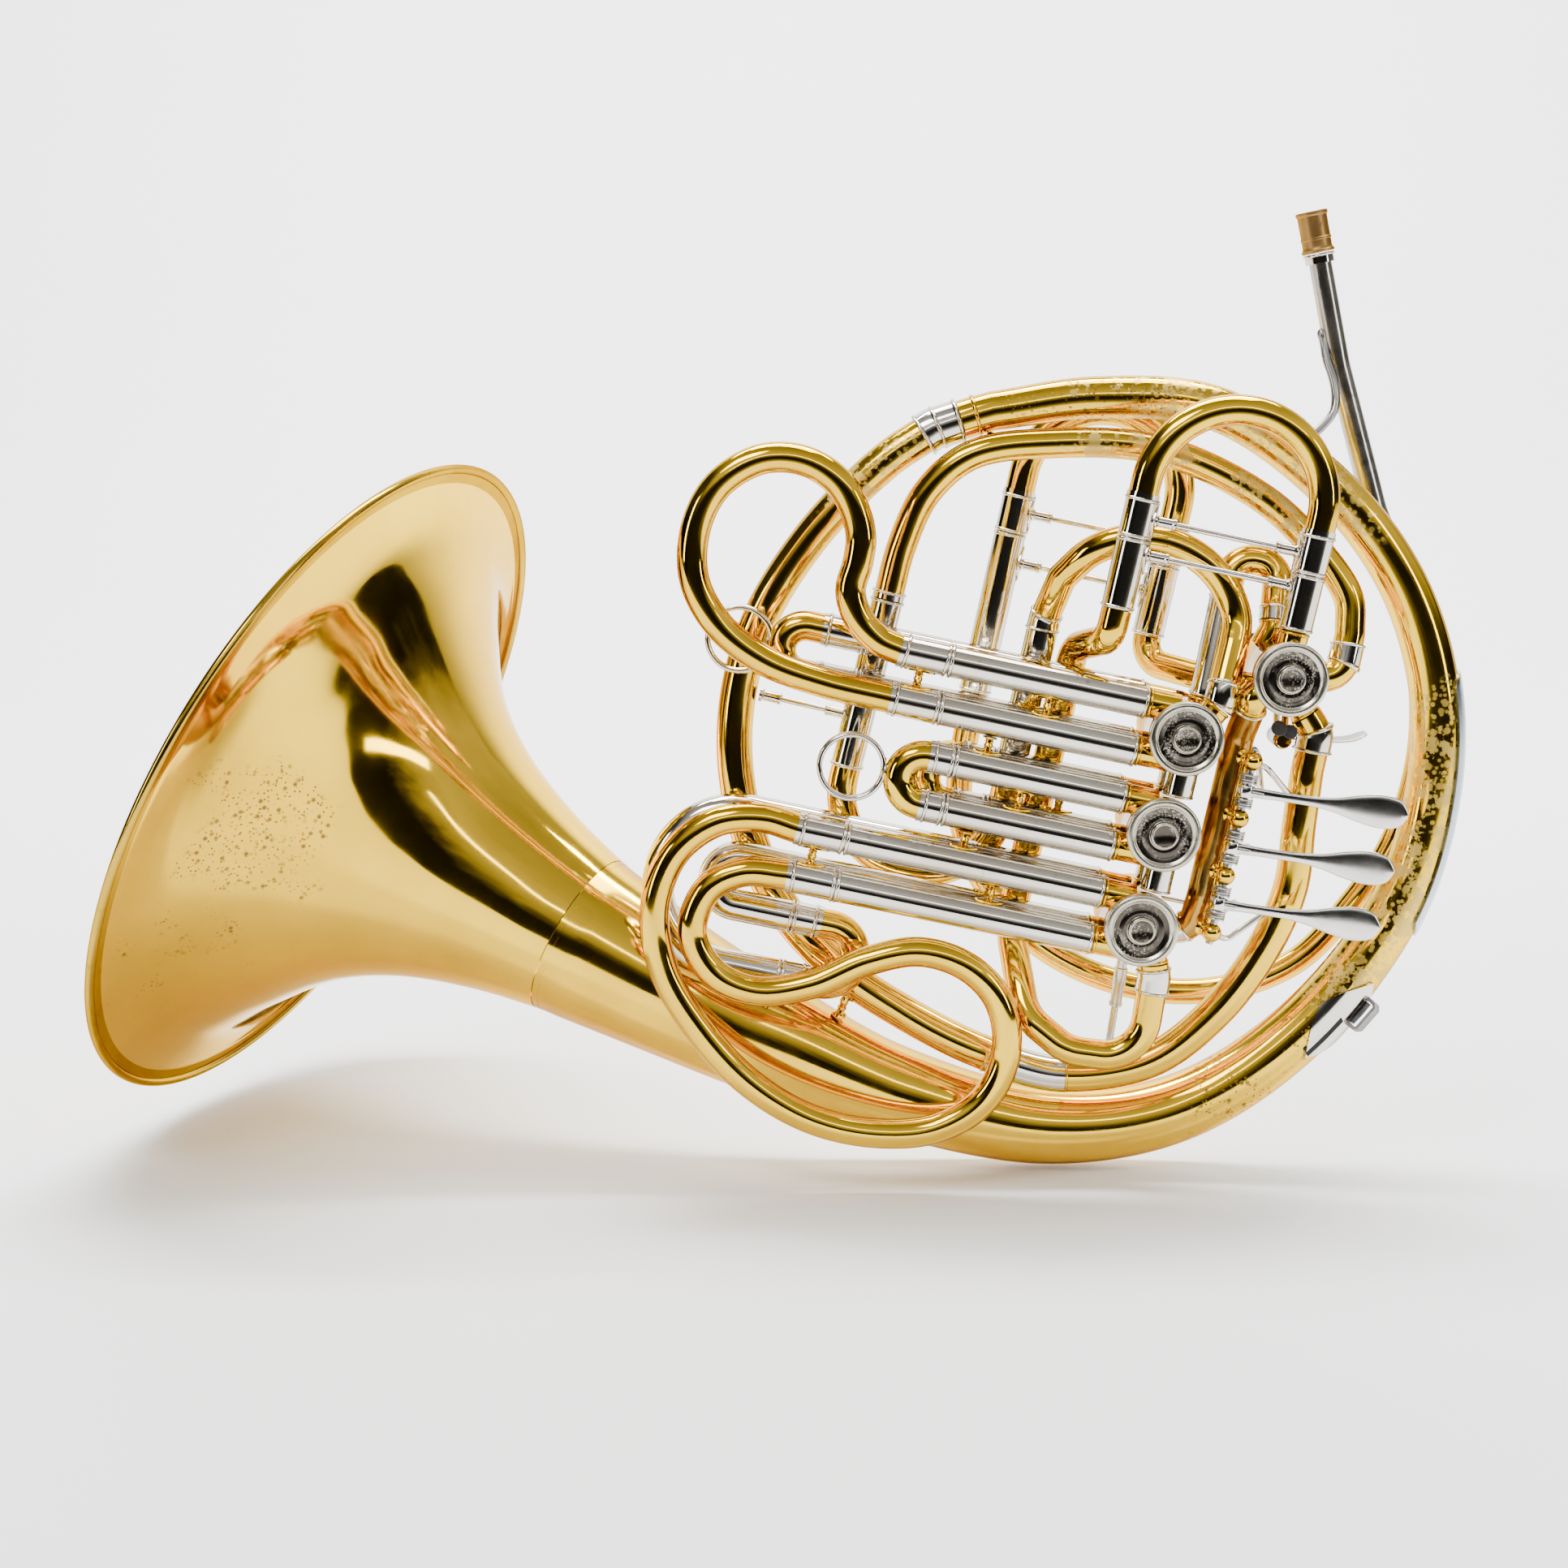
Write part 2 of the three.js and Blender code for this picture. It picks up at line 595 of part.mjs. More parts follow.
const LEVER_W = [1, 0, -1].map((k) => LEVER_MIDDLE + k * LEVER_PITCH);
const POST_W = [1.5, 0.5, -0.5, -1.5].map((k) => LEVER_MIDDLE + k * POST_PITCH);
const LINK_W = [1, 2, 3].map((valve) => VALVES[valve][1] + Math.sin(PIN_ANGLES[valve]) * PIN_RADIUS);
const LEVER_SLANT = THREE.MathUtils.degToRad(3.5);

// The lever, drawn with the axle along w through its origin. rise is how far up w its back arm reaches.
function lever(rise) {
  const half = [[2, 2.1], [12, 1.9], [24, 1.9], [35, 3], [46, 5.6], [55, 6.9], [61, 6.2], [65, 3.4]];
  const outline = new THREE.Shape();
  outline.moveTo(0, -2);
  outline.splineThru(half.map(([u, w]) => new THREE.Vector2(u, -w)));
  outline.quadraticCurveTo(66.5, 0, 65, 3.4);
  outline.splineThru(half.slice(0, -1).reverse().map(([u, w]) => new THREE.Vector2(u, w)));
  outline.lineTo(0, 2);
  const paddle = plate(outline, -3, -1.3, 1).rotate([0, (-LEVER_SLANT * 180) / Math.PI, 0]);
  const hub = rod([0, 0, -2.4], [0, 0, 2.4], 3.5, 10);
  const arm = tube(
    bent([0, -2, 0], [8, -2, 0, 2.5], [8, 10, 0, 6], [8, 34, rise, 6], [8, 46.5, rise]),
    { outer: 1.5, bore: 0, sides: 6 },
  );
  return cut(join(paddle, hub, arm), rod([0, 0, -4], [0, 0, 4], 2.1, 10));
}

function leverSpring() {
  const [from, to] = [2.75, POST_PITCH / 2 - 4.6];
  return tube([at([0, 0, from]), at([0, 0, to])], { outer: 4.1, bore: 2.4 });
}

// Four ball posts on a strip that lies along the bypass tube.
function leverRail() {
  const foot = [25, -14];
  const reach = at([AXLE.u - foot[0], AXLE.y - foot[1], 0]);
  const span = reach.length();
  reach.normalize();
  const out = (distance, w) => [foot[0] + reach.x * distance, foot[1] + reach.y * distance, w];
  const posts = POST_W.map((w) => join(
    rod(out(7.4, w), out(span - 2, w), 2.2, 6),
    tube([at([AXLE.u, AXLE.y, w - 4]), at([AXLE.u, AXLE.y, w + 4])], {
      outer: 2.9,
      bore: 0,
      collars: [[1.2, 6.8, 3.9]],
      sides: 6,
    }),
  ));
  const strip = rod(out(8, POST_W[3] + 2), out(8, POST_W[0] - 2), 1.1, 6);
  const axle = rod([AXLE.u, AXLE.y, POST_W[3] - 4.8], [AXLE.u, AXLE.y, POST_W[0] + 4.8], AXLE.radius);
  return join(strip, ...posts, axle);
}

part("lever_rail", leverRail(), LACQUER);
LEVER_W.forEach((w, i) => {
  const place = new THREE.Group();
  place.position.set(AXLE.u, AXLE.y, w);
  horn.add(place);
  part(`lever_${i + 1}`, lever(LINK_W[i] - w), NICKEL, place);
  part(`lever_spring_${i + 1}`, leverSpring(), STEEL, place);
});

// The thumb lever, drawn with its pin along the depth axis through the origin.
function thumbLever() {
  const top = [[3, 1.6], [12, 3.1], [22, 4.4], [29, 6.4], [34, 10]];
  const outline = new THREE.Shape();
  outline.moveTo(...top[0]);
  outline.splineThru(top.slice(1).map(([u, w]) => new THREE.Vector2(u, w)));
  outline.lineTo(35, 9);
  outline.splineThru(top.slice(1, -1).reverse().map(([u, w]) => new THREE.Vector2(u + 0.3, w - 1.6)));
  outline.lineTo(3, -0.2);
  const hub = disc(4, 4, 20.2, 12);
  const arm = rod([0, LINK_DEPTH, 0], [-5.2, LINK_DEPTH, 23.3], 1.5, 6);
  const knob = disc(2.2, LINK_DEPTH - 1.5, LINK_DEPTH + 1.5, 10).translate([-5.2, 0, 23.3]);
  return cut(join(plate(outline, 4.5, 19.5, 2), hub, arm, knob), disc(2.15, 0, 24, 10));
}

function thumbBracket() {
  const foot = [43.4 - THUMB.u, 2, 59 - THUMB.w];
  const bar = rod([0, 2, 0], foot, 1.6, 6);
  return join(bar, disc(3.2, 0.4, 3.6, 10), disc(1.6, 3.6, 21.6, 8), disc(3, 20.8, 22.4, 10));
}

const thumbPlace = new THREE.Group();
thumbPlace.position.set(THUMB.u, 0, THUMB.w);
horn.add(thumbPlace);
part("thumb_lever", thumbLever(), NICKEL, thumbPlace);
part("thumb_bracket", thumbBracket(), LACQUER, thumbPlace);

// ---------------------------------------------------------------- tuning slides

// A slide's fixed outer legs, with the posts that hold them together.
function outerLegs(routes, posts) {
  const skins = routes.map((route) => tube(route, { outer: SLEEVE, bore: 0 }));
  const bores = routes.map((route) => tube(stretched(route, 1), { outer: SLEEVE_BORE, bore: 0 }));
  return cut(join(...skins, ...posts), ...bores);
}

// A slide's moving crook: a narrow inner leg, a nickel ferrule, the brass crook and the same again.
function crook(route, innerLength, ferrule, posts) {
  const length = lengthOf(route);
  const brass = innerLength + ferrule;
  const collars = [
    [0, innerLength, INNER_LEG],
    [innerLength, brass, BEAD],
    [length - brass, length - innerLength, BEAD],
    [length - innerLength, length, INNER_LEG],
  ];
  return join(tube(route, { bore: INNER_BORE, collars }), ...posts);
}

// A pull ring of doubled wire, lying in the plane of the slides.
function pullRing(u, y, w, radius) {
  const ring = new THREE.TorusGeometry(radius, 1.5, 5, 16);
  ring.rotateX(Math.PI / 2);
  ring.translate(u, y, w);
  return solid(ring);
}

// The slides that lie along u. joint: where the moving ferrule meets the outer leg; inner: length of the inner
// legs; ferrule: length of the nickel that moves with the crook.
const LEVEL = {
  f1: { valve: 1, depth: FRONT, joint: -98.6, inner: 66, ferrule: 20 },
  f2: { valve: 2, depth: FRONT, joint: -88, inner: 56, ferrule: 10 },
  f3: { valve: 3, depth: FRONT, joint: -124, inner: 80, ferrule: 20 },
  b1: { valve: 1, depth: REAR, joint: -132, inner: 70, ferrule: 18 },
  b2: { valve: 2, depth: REAR, joint: -70, inner: 42, ferrule: 14 },
};

function levelLegs(name, posts) {
  const { valve, depth, joint } = LEVEL[name];
  const routes = [1, -1].map((side) => {
    const w = VALVES[valve][1] + side * LEG_OFFSET;
    return [at([-PORT_END, depth, w]), at([joint + GAP, depth, w])];
  });
  return outerLegs(routes, posts);
}

const levelCrook = (name, route, posts) => crook(route, LEVEL[name].inner, LEVEL[name].ferrule, posts);

const postBetween = (u, depth, w, reach = SLEEVE - 1.6) => baluster(
  [u, depth, w + LEG_OFFSET - reach],
  [u, depth, w - LEG_OFFSET + reach],
);

// A post that stands on the upper leg of a slide and ends just under the slide above it.
const postAbove = (u, valve) => {
  const w = VALVES[valve][1] + LEG_OFFSET;
  return baluster([u, FRONT, w + SLEEVE - 1.2], [u, FRONT, w + VALVE_PITCH / 2 - SLEEVE - 0.4]);
};

const inner = (name) => LEVEL[name].joint + LEVEL[name].inner;
const upper = (valve) => VALVES[valve][1] + LEG_OFFSET;
const lower = (valve) => VALVES[valve][1] - LEG_OFFSET;

const firstCrookRoute = chain(
  [at([inner("f1"), FRONT, upper(1)]), at([-118.6, FRONT, upper(1)])],
  smooth([
    [-118.6, FRONT, upper(1)], [-127.5, FRONT, 51.6], [-137, FRONT, 58], [-143, FRONT, 68.5], [-142.5, FRONT, 81],
    [-144.2, FRONT, 93], [-155, FRONT, 108.5], [-171, FRONT, 115.2], [-188.5, FRONT, 112.4], [-203.5, FRONT, 98.5],
    [-208.5, FRONT, 80], [-204.8, FRONT, 60], [-191.5, FRONT, 44.2], [-171, FRONT, 34.2], [-146, FRONT, 30.4],
    [-118.6, FRONT, lower(1)],
  ], 20),
  [at([inner("f1"), FRONT, lower(1)])],
);

const secondCrookRoute = bent(
  [inner("f2"), FRONT, upper(2)], [-108.2, FRONT, upper(2), LEG_OFFSET], [-108.2, FRONT, lower(2), LEG_OFFSET],
  [inner("f2"), FRONT, lower(2)],
);

const thirdCrookRoute = chain(
  [at([inner("f3"), FRONT, upper(3)]), at([-144, FRONT, upper(3)])],
  smooth([
    [-144, FRONT, upper(3)], [-158, FRONT, -28.6], [-176, FRONT, -34], [-190, FRONT, -50], [-193.5, FRONT, -74],
    [-185, FRONT, -98], [-166.5, FRONT, -119], [-142, FRONT, -137], [-114, FRONT, -147.2], [-86, FRONT, -147.8],
    [-61.5, FRONT, -140.5], [-45, FRONT, -124.5], [-40.5, FRONT, -102.5], [-48.5, FRONT, -82.5], [-64, FRONT, -71.6],
    [-84, FRONT, -69.4], [-104, FRONT, -77.5], [-124, FRONT, -91.5], [-146, FRONT, -99.3], [-164.5, FRONT, -95.5],
    [-176.5, FRONT, -81], [-174, FRONT, -62], [-161.5, FRONT, -52], [-144, FRONT, lower(3)],
  ], 30),
  [at([inner("f3"), FRONT, lower(3)])],
);

const firstFlatRoute = bent(
  [inner("b1"), REAR, upper(1)], [-165, REAR, upper(1), LEG_OFFSET], [-165, REAR, lower(1), LEG_OFFSET],
  [inner("b1"), REAR, lower(1)],
);

const secondFlatRoute = bent(
  [inner("b2"), REAR, upper(2)], [-96, REAR, upper(2), LEG_OFFSET], [-96, REAR, lower(2), LEG_OFFSET],
  [inner("b2"), REAR, lower(2)],
);

// The third B flat slide's outer legs turn back at the left, and its crook pulls out to the right.
const THIRD_FLAT = { upper: -69.8, lower: -95.2, turn: -162, joint: -137, inner: 22, ferrule: 12 };
const thirdFlatLegs = [
  bent(
    [-PORT_END, REAR, lower(3)], [THIRD_FLAT.turn - 10.1, REAR, lower(3), 10.1],
    [THIRD_FLAT.turn - 10.1, REAR, THIRD_FLAT.upper, 10.1], [THIRD_FLAT.joint - GAP, REAR, THIRD_FLAT.upper],
  ),
  bent(
    [-PORT_END, REAR, upper(3)], [THIRD_FLAT.turn - 32.7, REAR, upper(3), 32.6],
    [THIRD_FLAT.turn - 32.7, REAR, THIRD_FLAT.lower, 32.6], [THIRD_FLAT.joint - GAP, REAR, THIRD_FLAT.lower],
  ),
];
const thirdFlatRoute = bent(
  [THIRD_FLAT.joint - THIRD_FLAT.inner, REAR, THIRD_FLAT.upper], [-108, REAR, THIRD_FLAT.upper, 12.7],
  [-108, REAR, THIRD_FLAT.lower, 12.7], [THIRD_FLAT.joint - THIRD_FLAT.inner, REAR, THIRD_FLAT.lower],
);

// The two tuning slides stand upright: F tuning in front, main tuning at the back.
const UPRIGHT_FERRULE = 18;
const TUNING_F = {
  left: -37.3, right: 34.4, depth: FRONT, joint: 113, crown: 135.3, leftFoot: 84, rightFoot: 90, inner: 22,
};
const TUNING_MAIN = {
  left: -80.4, right: -14.5, depth: BACK, joint: 102, crown: 127, leftFoot: 33.4, rightFoot: 71.8, inner: 28,
};

const across = ({ left, right, depth }, w) => braceRod([left + SLEEVE - 1, depth, w], [right - SLEEVE + 1, depth, w]);

function uprightLegs(slide, braceHeight) {
  const { left, right, depth, joint, leftFoot, rightFoot } = slide;
  const routes = [
    [at([left, depth, leftFoot]), at([left, depth, joint - GAP])],
    [at([right, depth, rightFoot]), at([right, depth, joint - GAP])],
  ];
  return outerLegs(routes, [across(slide, braceHeight)]);
}

function uprightCrook(slide, braceHeight) {
  const { left, right, depth, joint, crown } = slide;
  const radius = (right - left) / 2;
  const route = bent(
    [left, depth, joint - slide.inner], [left, depth, crown + radius, radius - 0.02],
    [right, depth, crown + radius, radius - 0.02], [right, depth, joint - slide.inner],
  );
  return crook(route, slide.inner, UPRIGHT_FERRULE, [across(slide, braceHeight)]);
}

const slides = {
  slide_f1_legs: levelLegs("f1", [postBetween(-55.7, FRONT, VALVE_PITCH)]),
  slide_f1_crook: levelCrook("f1", firstCrookRoute, [postBetween(-109, FRONT, VALVE_PITCH, SLEEVE - 1.2)]),
  slide_f2_legs: levelLegs("f2", [postBetween(-58.6, FRONT, 0), postAbove(-75.5, 2)]),
  slide_f2_crook: levelCrook("f2", secondCrookRoute, [pullRing(-108.2 - BRASS - 13.2, FRONT, -0.5, 13)]),
  slide_f3_legs: levelLegs("f3", [postBetween(-61.4, FRONT, -VALVE_PITCH), postAbove(-76.5, 3)]),
  slide_f3_crook: levelCrook("f3", thirdCrookRoute, [postBetween(-135.5, FRONT, -VALVE_PITCH, SLEEVE - 1.2)]),
  slide_b1_legs: levelLegs("b1", [postBetween(-60, REAR, VALVE_PITCH)]),
  slide_b1_crook: levelCrook("b1", firstFlatRoute, [pullRing(-165 - BRASS - 11, REAR, 38.6, 13)]),
  slide_b2_legs: levelLegs("b2", [postBetween(-40, REAR, 0)]),
  slide_b2_crook: levelCrook("b2", secondFlatRoute, []),
  slide_b3_legs: outerLegs(thirdFlatLegs, [postBetween(-60, REAR, -VALVE_PITCH)]),
  slide_b3_crook: crook(thirdFlatRoute, THIRD_FLAT.inner, THIRD_FLAT.ferrule, []),
  tuning_f_legs: uprightLegs(TUNING_F, 107),
  tuning_f_crook: uprightCrook(TUNING_F, 121),
  tuning_main_legs: uprightLegs(TUNING_MAIN, 90),
  tuning_main_crook: uprightCrook(TUNING_MAIN, 111),
};
for (const [name, made] of Object.entries(slides)) {
  part(name, made, name.endsWith("_legs") ? NICKEL : LACQUER);
}

// ---------------------------------------------------------------- guards on the ring

// The stretch of a thin shell round the ring that lies on the side away from a point or a direction.
function ringShell(from, to, away) {
  const route = slice(tailRoute, from, to);
  const shell = tube(route, {
    outer: (s) => tailRadius(from + s) + 1.5,
    bore: (s) => tailRadius(from + s) + 0.5,
    sides: 12,
  });
  const shifted = route.map(away);
  const cutter = tube(stretched(shifted, 3), { outer: (s) => tailRadius(from + s) + 4, bore: 0, sides: 12 });
  return cut(shell, cutter);
}

const ringMiddle = at([-5, RING_DEPTH, 20]);
const inward = (point) => point.clone().addScaledVector(ringMiddle.clone().sub(point).normalize(), 8.5);
const backward = (point) => point.clone().add(at([-2, 9, 2]));

part("ring_guard", ringShell(395, 502, inward), NICKEL);
part("hook_plate", ringShell(334, 368, backward), NICKEL);

export default horn;
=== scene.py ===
"""The looks of a double French horn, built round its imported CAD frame.

Lengths are written in millimetres in the horn's own directions, u along the slides, y in depth and w up the
row of valves, and turned into metres in the row frame when a mesh is made.
"""

import math

import bmesh
import bpy
from mathutils import Matrix, Quaternion, Vector

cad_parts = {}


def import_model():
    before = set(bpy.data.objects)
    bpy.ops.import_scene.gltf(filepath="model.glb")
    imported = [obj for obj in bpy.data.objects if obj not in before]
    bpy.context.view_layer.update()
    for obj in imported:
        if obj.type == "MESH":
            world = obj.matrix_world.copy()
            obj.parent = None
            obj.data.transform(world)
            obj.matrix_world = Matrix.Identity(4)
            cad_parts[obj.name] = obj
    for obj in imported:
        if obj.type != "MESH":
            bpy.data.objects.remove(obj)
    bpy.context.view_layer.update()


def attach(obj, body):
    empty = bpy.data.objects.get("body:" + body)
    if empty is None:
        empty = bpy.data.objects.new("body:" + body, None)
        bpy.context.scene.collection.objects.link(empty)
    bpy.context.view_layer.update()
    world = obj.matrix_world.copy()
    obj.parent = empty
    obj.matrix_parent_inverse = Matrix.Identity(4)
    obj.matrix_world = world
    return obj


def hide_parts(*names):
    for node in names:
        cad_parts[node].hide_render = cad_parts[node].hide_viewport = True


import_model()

TILT = math.radians(12)
REST_POINT = Vector((33.6, -10, 150.35))
TURN = Matrix.Rotation(TILT, 3, "Y")

FRONT, REAR, BEHIND, BACK, RING = -26.0, -7.0, 7.0, 30.5, 12.0
PITCH = 39.7
LEG = PITCH / 4
GAP = 0.3
BORE, LEG_BORE, CROOK_BORE = 4.9, 5.75, 4.7
BRASS_R, SLEEVE_R = 6.2, 6.6
VALVES = {1: (0, PITCH), 2: (0, 0), 3: (0, -PITCH), 4: (35, 71.6)}
PORT, LONG_PORT = 7.0, 11.5
HORN = "horn"
DEEP, UP = (0, 1, 0), (0, 0, 1)


def world(point):
    """A point in the horn's own directions, in millimetres, as a point in the row frame, in metres."""
    return (TURN @ Vector(point) + REST_POINT) / 1000


# ---------------------------------------------------------------- materials


class Nodes:
    """A short way to write the node tree of a material or of the world."""

    def __init__(self, owner, shader="Principled BSDF"):
        owner.use_nodes = True
        self.owner = owner
        self.tree = owner.node_tree
        self.shader = self.tree.nodes[shader]

    def put(self, node, key, value):
        """Sets one input of a node, or links another node's output to it."""
        if isinstance(value, bpy.types.NodeSocket):
            self.tree.links.new(value, node.inputs[key])
        else:
            node.inputs[key].default_value = value

    def add(self, kind, inputs, **settings):
        node = self.tree.nodes.new(kind)
        for key, value in settings.items():
            setattr(node, key, value)
        for key, value in inputs.items():
            self.put(node, key, value)
        return node

    def place(self, space="Object"):
        return self.add("ShaderNodeTexCoord", {}).outputs[space]

    def noise(self, scale, detail=3.0, rough=0.55, space="Object"):
        inputs = {"Scale": scale, "Detail": detail, "Roughness": rough, "Vector": self.place(space)}
        return self.add("ShaderNodeTexNoise", inputs).outputs["Fac"]

    def spots(self, scale, size):
        """Small round marks: 1 inside a mark, 0 outside."""
        node = self.add("ShaderNodeTexVoronoi", {"Scale": scale, "Vector": self.place()})
        return self.ramp(node.outputs["Distance"], [(0.0, 1.0), (size, 0.6), (size * 1.5, 0.0)])

    def ramp(self, value, stops):
        node = self.add("ShaderNodeValToRGB", {"Fac": value})
        node.color_ramp.elements[0].position = stops[0][0]
        node.color_ramp.elements[1].position = stops[-1][0]
        for position, _ in stops[1:-1]:
            node.color_ramp.elements.new(position)
        for element, (_, level) in zip(node.color_ramp.elements, stops):
            element.color = level if isinstance(level, tuple) else (level, level, level, 1)
        return node.outputs["Color"]

    def math(self, operation, a, b):
        return self.add("ShaderNodeMath", {0: a, 1: b}, operation=operation).outputs[0]

    def spread(self, value, low, high, start, end):
        """Maps the range low to high onto start to end, and holds it there."""
        inputs = {"Value": value, "From Min": low, "From Max": high, "To Min": start, "To Max": end}
        return self.add("ShaderNodeMapRange", inputs).outputs["Result"]

    def near(self, point, inner, outer):
        """1 within a distance of a point in the row frame, falling to 0 further out."""
        away = self.add("ShaderNodeVectorMath", {0: self.place(), 1: tuple(point)}, operation="DISTANCE")
        return self.spread(away.outputs["Value"], inner, outer, 1.0, 0.0)

    def patches(self, places, share, cloud, low, high):
        """Broken patches round some places, each a point with its inner and outer distance."""
        close = self.near(*places[0])
        for place in places[1:]:
            close = self.math("MAXIMUM", close, self.near(*place))
        height = self.math("ADD", self.math("MULTIPLY", close, share), cloud)
        return self.ramp(height, [(low, 0.0), (high, 1.0)])

    def mix(self, share, a, b):
        return self.add("ShaderNodeMix", {0: share, 6: a, 7: b}, data_type="RGBA").outputs[2]

    def use(self, key, value):
        self.put(self.shader, key, value)

    def bump(self, height, strength, distance=0.0002):
        inputs = {"Strength": strength, "Distance": distance, "Height": height}
        self.use("Normal", self.add("ShaderNodeBump", inputs).outputs["Normal"])


def solid(colour):
    return (*colour, 1)


PLAIN_EDGE = (1, 1, 1)


def metal(name, light, dark, rough, grime, edge=PLAIN_EDGE, wear=(), pits=(), coat=0.0, dents=0.05, mark=0.4):
    """A polished metal: two close tones, smudges in its gloss and fine marks. Worn places have dull spots and
    blotches, and others have dark pits. A darker edge colour is painted shade that dims the grazing
    reflections."""
    n = Nodes(bpy.data.materials.new(name))
    base = n.mix(n.ramp(n.noise(14.0, 4.0), [(0.35, 0.0), (0.7, 1.0)]), solid(light), solid(dark))
    gloss = n.ramp(n.noise(55.0, 5.0), [(0.3, rough[0]), (0.75, rough[1])])
    deep = (dark[0] * 0.3, dark[1] * 0.22, dark[2] * 0.2, 1)
    marks = n.math("MULTIPLY", n.spots(700.0, 0.07), mark)
    base = n.mix(marks, base, deep)
    stain = n.ramp(n.noise(160.0, 6.0, 0.7), [(0.6, 0.0), (0.72, grime)])
    base = n.mix(stain, base, deep)
    if wear:
        few = n.patches(wear, 0.42, n.noise(45.0, 3.0), 0.74, 0.84)
        small = n.math("MULTIPLY", few, n.spots(380.0, 0.36))
        large = n.math("MULTIPLY", few, n.spots(190.0, 0.28))
        sheet = n.patches(wear, 0.3, n.noise(85.0, 6.0, 0.7), 0.81, 0.84)
        broken = n.math("MAXIMUM", n.math("MAXIMUM", small, large), sheet)
        base = n.mix(n.math("MULTIPLY", broken, 0.8), base, (0.62, 0.44, 0.12, 1))
        gloss = n.math("MAXIMUM", gloss, n.math("MULTIPLY", broken, 0.46))
    if pits:
        few = n.patches(pits, 0.5, n.noise(60.0, 3.0), 0.72, 0.85)
        dots = n.math("MULTIPLY", few, n.math("MAXIMUM", n.spots(230.0, 0.2), n.spots(520.0, 0.22)))
        base = n.mix(dots, base, (0.10, 0.045, 0.015, 1))
        gloss = n.math("MAXIMUM", gloss, n.math("MULTIPLY", dots, 0.5))
    n.use("Base Color", base)
    n.use("Roughness", gloss)
    n.use("Metallic", 1.0)
    # A darker edge colour is painted shade: it dims grazing reflections in place of the darker reflections
    # between tubes.
    n.use("Specular Tint", solid(edge))
    if coat:
        n.use("Coat Weight", coat)
        n.use("Coat Roughness", 0.04)
        n.use("Coat IOR", 1.5)
    uneven = n.math("ADD", n.noise(38.0, 2.0), n.math("MULTIPLY", n.noise(1400.0, 2.0), 0.02))
    n.bump(n.math("SUBTRACT", uneven, n.math("MULTIPLY", marks, 0.06)), dents, 0.0006)
    return n.owner


def speckled(name, dark, light):
    """A dark face with pale specks, and paler patches where it has been rubbed. The dark is painted
    reflection, as the caps face the front; the specks and rubbed patches are wear.
    """
    n = Nodes(bpy.data.materials.new(name))
    few = n.ramp(n.noise(90.0, 4.0), [(0.42, 0.0), (0.62, 1.0)])
    specks = n.math("MULTIPLY", few, n.math("MAXIMUM", n.spots(620.0, 0.24), n.spots(1100.0, 0.3)))
    rubbed = n.ramp(n.noise(140.0, 5.0), [(0.56, 0.0), (0.8, 0.35)])
    # The dark base colour is painted reflection; the specks and rubbed patches are wear.
    n.use("Base Color", n.mix(n.math("MAXIMUM", specks, rubbed), solid(dark), solid(light)))
    n.use("Roughness", n.ramp(specks, [(0.0, 0.2), (1.0, 0.45)]))
    n.use("Metallic", 1.0)
    n.bump(n.math("SUBTRACT", n.noise(60.0, 2.0), n.math("MULTIPLY", specks, 0.1)), 0.05, 0.0006)
    return n.owner


def cork(name, colour, rough):
    """A dull black stop, rough and slightly mottled."""
    n = Nodes(bpy.data.materials.new(name))
    cloud = n.noise(700.0, 5.0)
    dark = tuple(c * 0.6 for c in colour)
    n.use("Base Color", n.mix(n.ramp(cloud, [(0.3, 0.0), (0.7, 1.0)]), solid(colour), solid(dark)))
    n.use("Roughness", n.ramp(cloud, [(0.2, rough), (0.8, rough + 0.15)]))
    n.bump(cloud, 0.25)
    return n.owner


BELL_PITS = [((-0.339, -0.022, 0.152), 0.012, 0.055), ((-0.36, -0.03, 0.085), 0.0, 0.05)]
RING_WEAR = [
    (world((-25, -2, 168)), 0.03, 0.07),
    (world((40, 0, 150)), 0.01, 0.06),
    (world((112, 0, 50)), 0.02, 0.06),
    (world((112, 0, 0)), 0.03, 0.06),
    (world((98, 0, -50)), 0.01, 0.05),
]
RING_PITS = [
    (world((60, 0, -110)), 0.0, 0.05),
    (world((95, 0, -66)), 0.0, 0.04),
    (world((-60, 0, 160)), 0.0, 0.06),
]
BRANCH_WEAR = [(world((-142, 5, 118)), 0.015, 0.05), (world((-26, -6, -113)), 0.012, 0.025)]
BAND_WEAR = [(world((-40, 0, 148)), 0.02, 0.06), (world((20, 0, 138)), 0.01, 0.045)]

GOLD = (0.93, 0.59, 0.016)
GOLD_DEEP = (0.74, 0.445, 0.008)
# Edge colours: painted shade that dims the grazing reflections, standing in for the darker reflections
# between neighbouring tubes. The bell's is milder.
GOLD_EDGE_SHADE = (0.42, 0.27, 0.06)
BELL_EDGE_SHADE = (0.8, 0.62, 0.25)
GREY_EDGE_SHADE = (0.4, 0.385, 0.36)


def lacquer(name, rough, grime=0.15, edge=GOLD_EDGE_SHADE, **extra):
    """Polished brass under clear lacquer."""
    return metal(name, GOLD, GOLD_DEEP, rough, grime, edge, coat=0.35, **extra)
